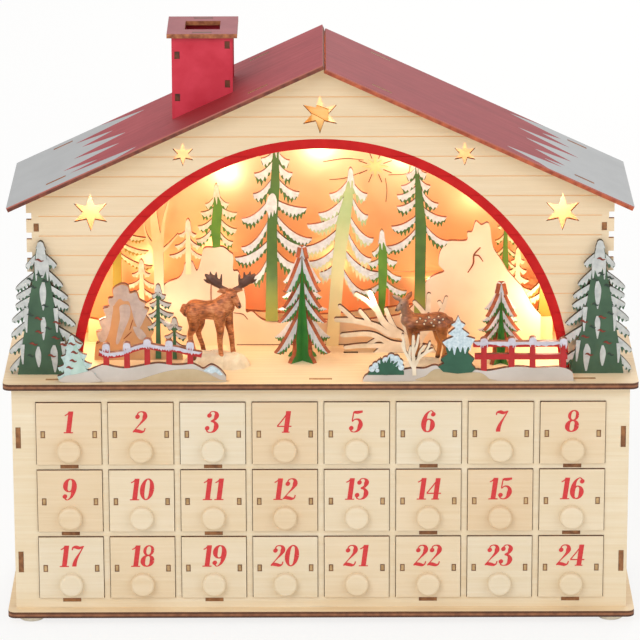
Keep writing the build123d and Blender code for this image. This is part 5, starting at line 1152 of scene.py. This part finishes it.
# each antler: side to which it spreads, root, then beam, palm and points as steps out and up from the root
antler_steps = [
    [(0, 0, 1.3), (3.8, 1.7, 1.5), (7.4, 4.4, 2.4), (10.4, 7, 2.2), (13, 9.4, 1.0)], [(5.4, 4.8, 2.0), (9.4, 8, 2.0)],
    [(4, 2.2, 1.2), (3.4, 6.4, 0.9), (3.1, 9.8, 0.5)], [(7, 4.4, 1.3), (6.6, 8.2, 1), (6.4, 11.2, 0.5)],
    [(9.4, 6.2, 1.2), (9.8, 9.2, 0.9), (10.2, 11.4, 0.5)], [(8, 4.2, 1.2), (12, 4.8, 0.9), (14.2, 6.4, 0.5)],
]
for side, root in ((-1, -59.4), (1, -54.6)):
    for row in antler_steps:
        stag_limbs.append([(root + side * out, 0.4 + 0.06 * out, 50.2 + up, radius) for out, up, radius in row])
stag_middle = sum(corner.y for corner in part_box("stag")) / 2 / mm
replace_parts(cast("stag_figure", stag_limbs, stag_middle, stag_coat), "stag")

# The doe's legs fade to orange below her body: painted warm light of the bulbs; her grey chest and dark hooves are
# her coat's own colours.
doe_coat = coat("doe_brown_acrylic", ("#4A2612", "#84471F", "#AD6B38"), (
    ("X", 56, 51, "#8C7260"), ("Z", deck_top + 24, deck_top + 18, "#B9773C"),
    ("Z", deck_top + 7, deck_top + 5, "#3A2418")))
doe_limbs = [
    [(79.4, 0, 28.4, 4.6), (75.4, 0, 29.4, 6), (67, 0, 28.6, 5.6), (59.6, 0, 28.6, 6), (55.6, 0, 30.4, 5)],
    [(57, 0, 31, 4.6), (54.4, -0.5, 35.6, 3.3), (53, -1, 40, 2.8)],
    [(53, -1, 41.6, 3), (50.8, -2.2, 40, 2.3), (48.8, -3.4, 38.2, 1.5)],
    [(51.4, -0.8, 43.4, 1.2), (48, -1, 45.4, 1.6), (45.6, -1, 46.4, 0.5)],
    [(54.2, 0, 43.6, 1.2), (56.4, 0.3, 46.4, 1.6), (57.8, 0.4, 48.6, 0.5)],
    [(57.4, -3, 27, 3.8), (57.8, -3.2, 17, 1.8), (58, -3.2, 10, 1.3), (57.6, -3.4, 4.6, 1.6)],
    [(60, 3, 27, 3.6), (61.6, 3.2, 17, 1.7), (61.8, 3.2, 10, 1.3), (61.4, 3, 4.6, 1.6)],
    [(76.6, -3, 27, 4.6), (77.8, -3.2, 18, 2.5), (79.4, -3.2, 13, 1.6), (77.8, -3.2, 4.6, 1.6)],
    [(74, 3, 27, 4.4), (74.6, 3.2, 18, 2.4), (75.8, 3.2, 13, 1.6), (74.4, 3, 4.6, 1.6)],
    [(82.6, 0, 30.4, 1.6), (84, 0, 27, 1.1)],
]
doe_middle = sum(corner.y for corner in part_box("doe")) / 2 / mm
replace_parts(cast("doe_figure", doe_limbs, doe_middle, doe_coat), "doe")
fleck = painted("cream_fleck_paint", ("#F3E4CC", "#E3CDA8"), size=1.0)
# each fleck: place along the back, and turn round the body from the flank upwards
flecks = [(61, 20), (63, 40), (65.6, 4), (66.4, 26), (68.6, 48), (70.2, 12), (72, 32), (74.6, 52), (75.2, 14),
          (77.4, 34), (71.6, -6)]
spine, fleck_depths, fleck_size = deck_top + 28.9, (5.2, 5.7), 0.95
spots = [tube([(x, doe_middle + side * deep * np.cos(np.radians(a)), spine + deep * np.sin(np.radians(a)), fleck_size)
               for deep in fleck_depths], 10) for x, a in flecks for side in (-1, 1)]
piece("doe_flecks", spots, fleck)
dark_gloss = painted("black_gloss_paint", ("#16100C", "#2A1C14"), size=1.0, roughness=0.25)
eyes = [[(-55.9, -4.2, 46.6, 0.55), (-55.9, -4.6, 46.5, 0.5)], [(-53.4, -0.4, 46.4, 0.55), (-53, -0.3, 46.3, 0.5)],
        [(-51.4, -5.3, 40.6, 0.8), (-51, -5.5, 40.2, 0.7)], [(51.2, -4, 41.4, 0.55), (51.1, -4.3, 41.4, 0.5)],
        [(48, -4.2, 38.2, 0.7), (47.6, -4.4, 38, 0.6)]]
sides = [stag_middle] * 3 + [doe_middle] * 2
piece("deer_eyes", [tube(np.array(rows) + (0, y, deck_top, 0), 10) for rows, y in zip(eyes, sides)], dark_gloss)


def dome(x, y, wide, deep, tall):
    """Low mound: rings that sink as a power of their distance from the middle, with a wavy rim, flat below."""
    share = np.linspace(0.06, 1, 12)[:, None]
    turn = np.linspace(0, 2 * np.pi, 48, endpoint=False)[None, :]
    reach = share * (1 + 0.05 * np.sin(3 * turn + x) + 0.03 * np.sin(7 * turn))
    height = tall * (1 - share ** 3.5) * (1 + 0.06 * np.sin(4 * turn + 9 * share))
    points = np.stack((x + wide * reach * np.cos(turn), y + deep * reach * np.sin(turn), deck_top + height), axis=-1)
    points = points.reshape(-1, 3)
    index = np.arange(len(points)).reshape(-1, 48)
    after = np.roll(index, -1, axis=1)
    quads = np.stack((index[:-1], index[1:], after[1:], after[:-1]), axis=-1).reshape(-1, 4)
    return points, [index[0].tolist(), *quads.tolist(), index[-1][::-1].tolist()]


mound_snow = painted("mound_snow_paste", ("#EBDCC0", "#DCC9A6"), size=5.0, facing=(0, 0, 1), dark="#D8C6A4",
                     light="#EADBBE")
mounds = [dome(-69, stag_middle, 19, 10, 9.4), dome(-56, stag_middle - 2, 11, 8.6, 8.4),
          dome(66, doe_middle, 17, 9, 4.6)]
piece("deer_mounds", mounds, mound_snow)
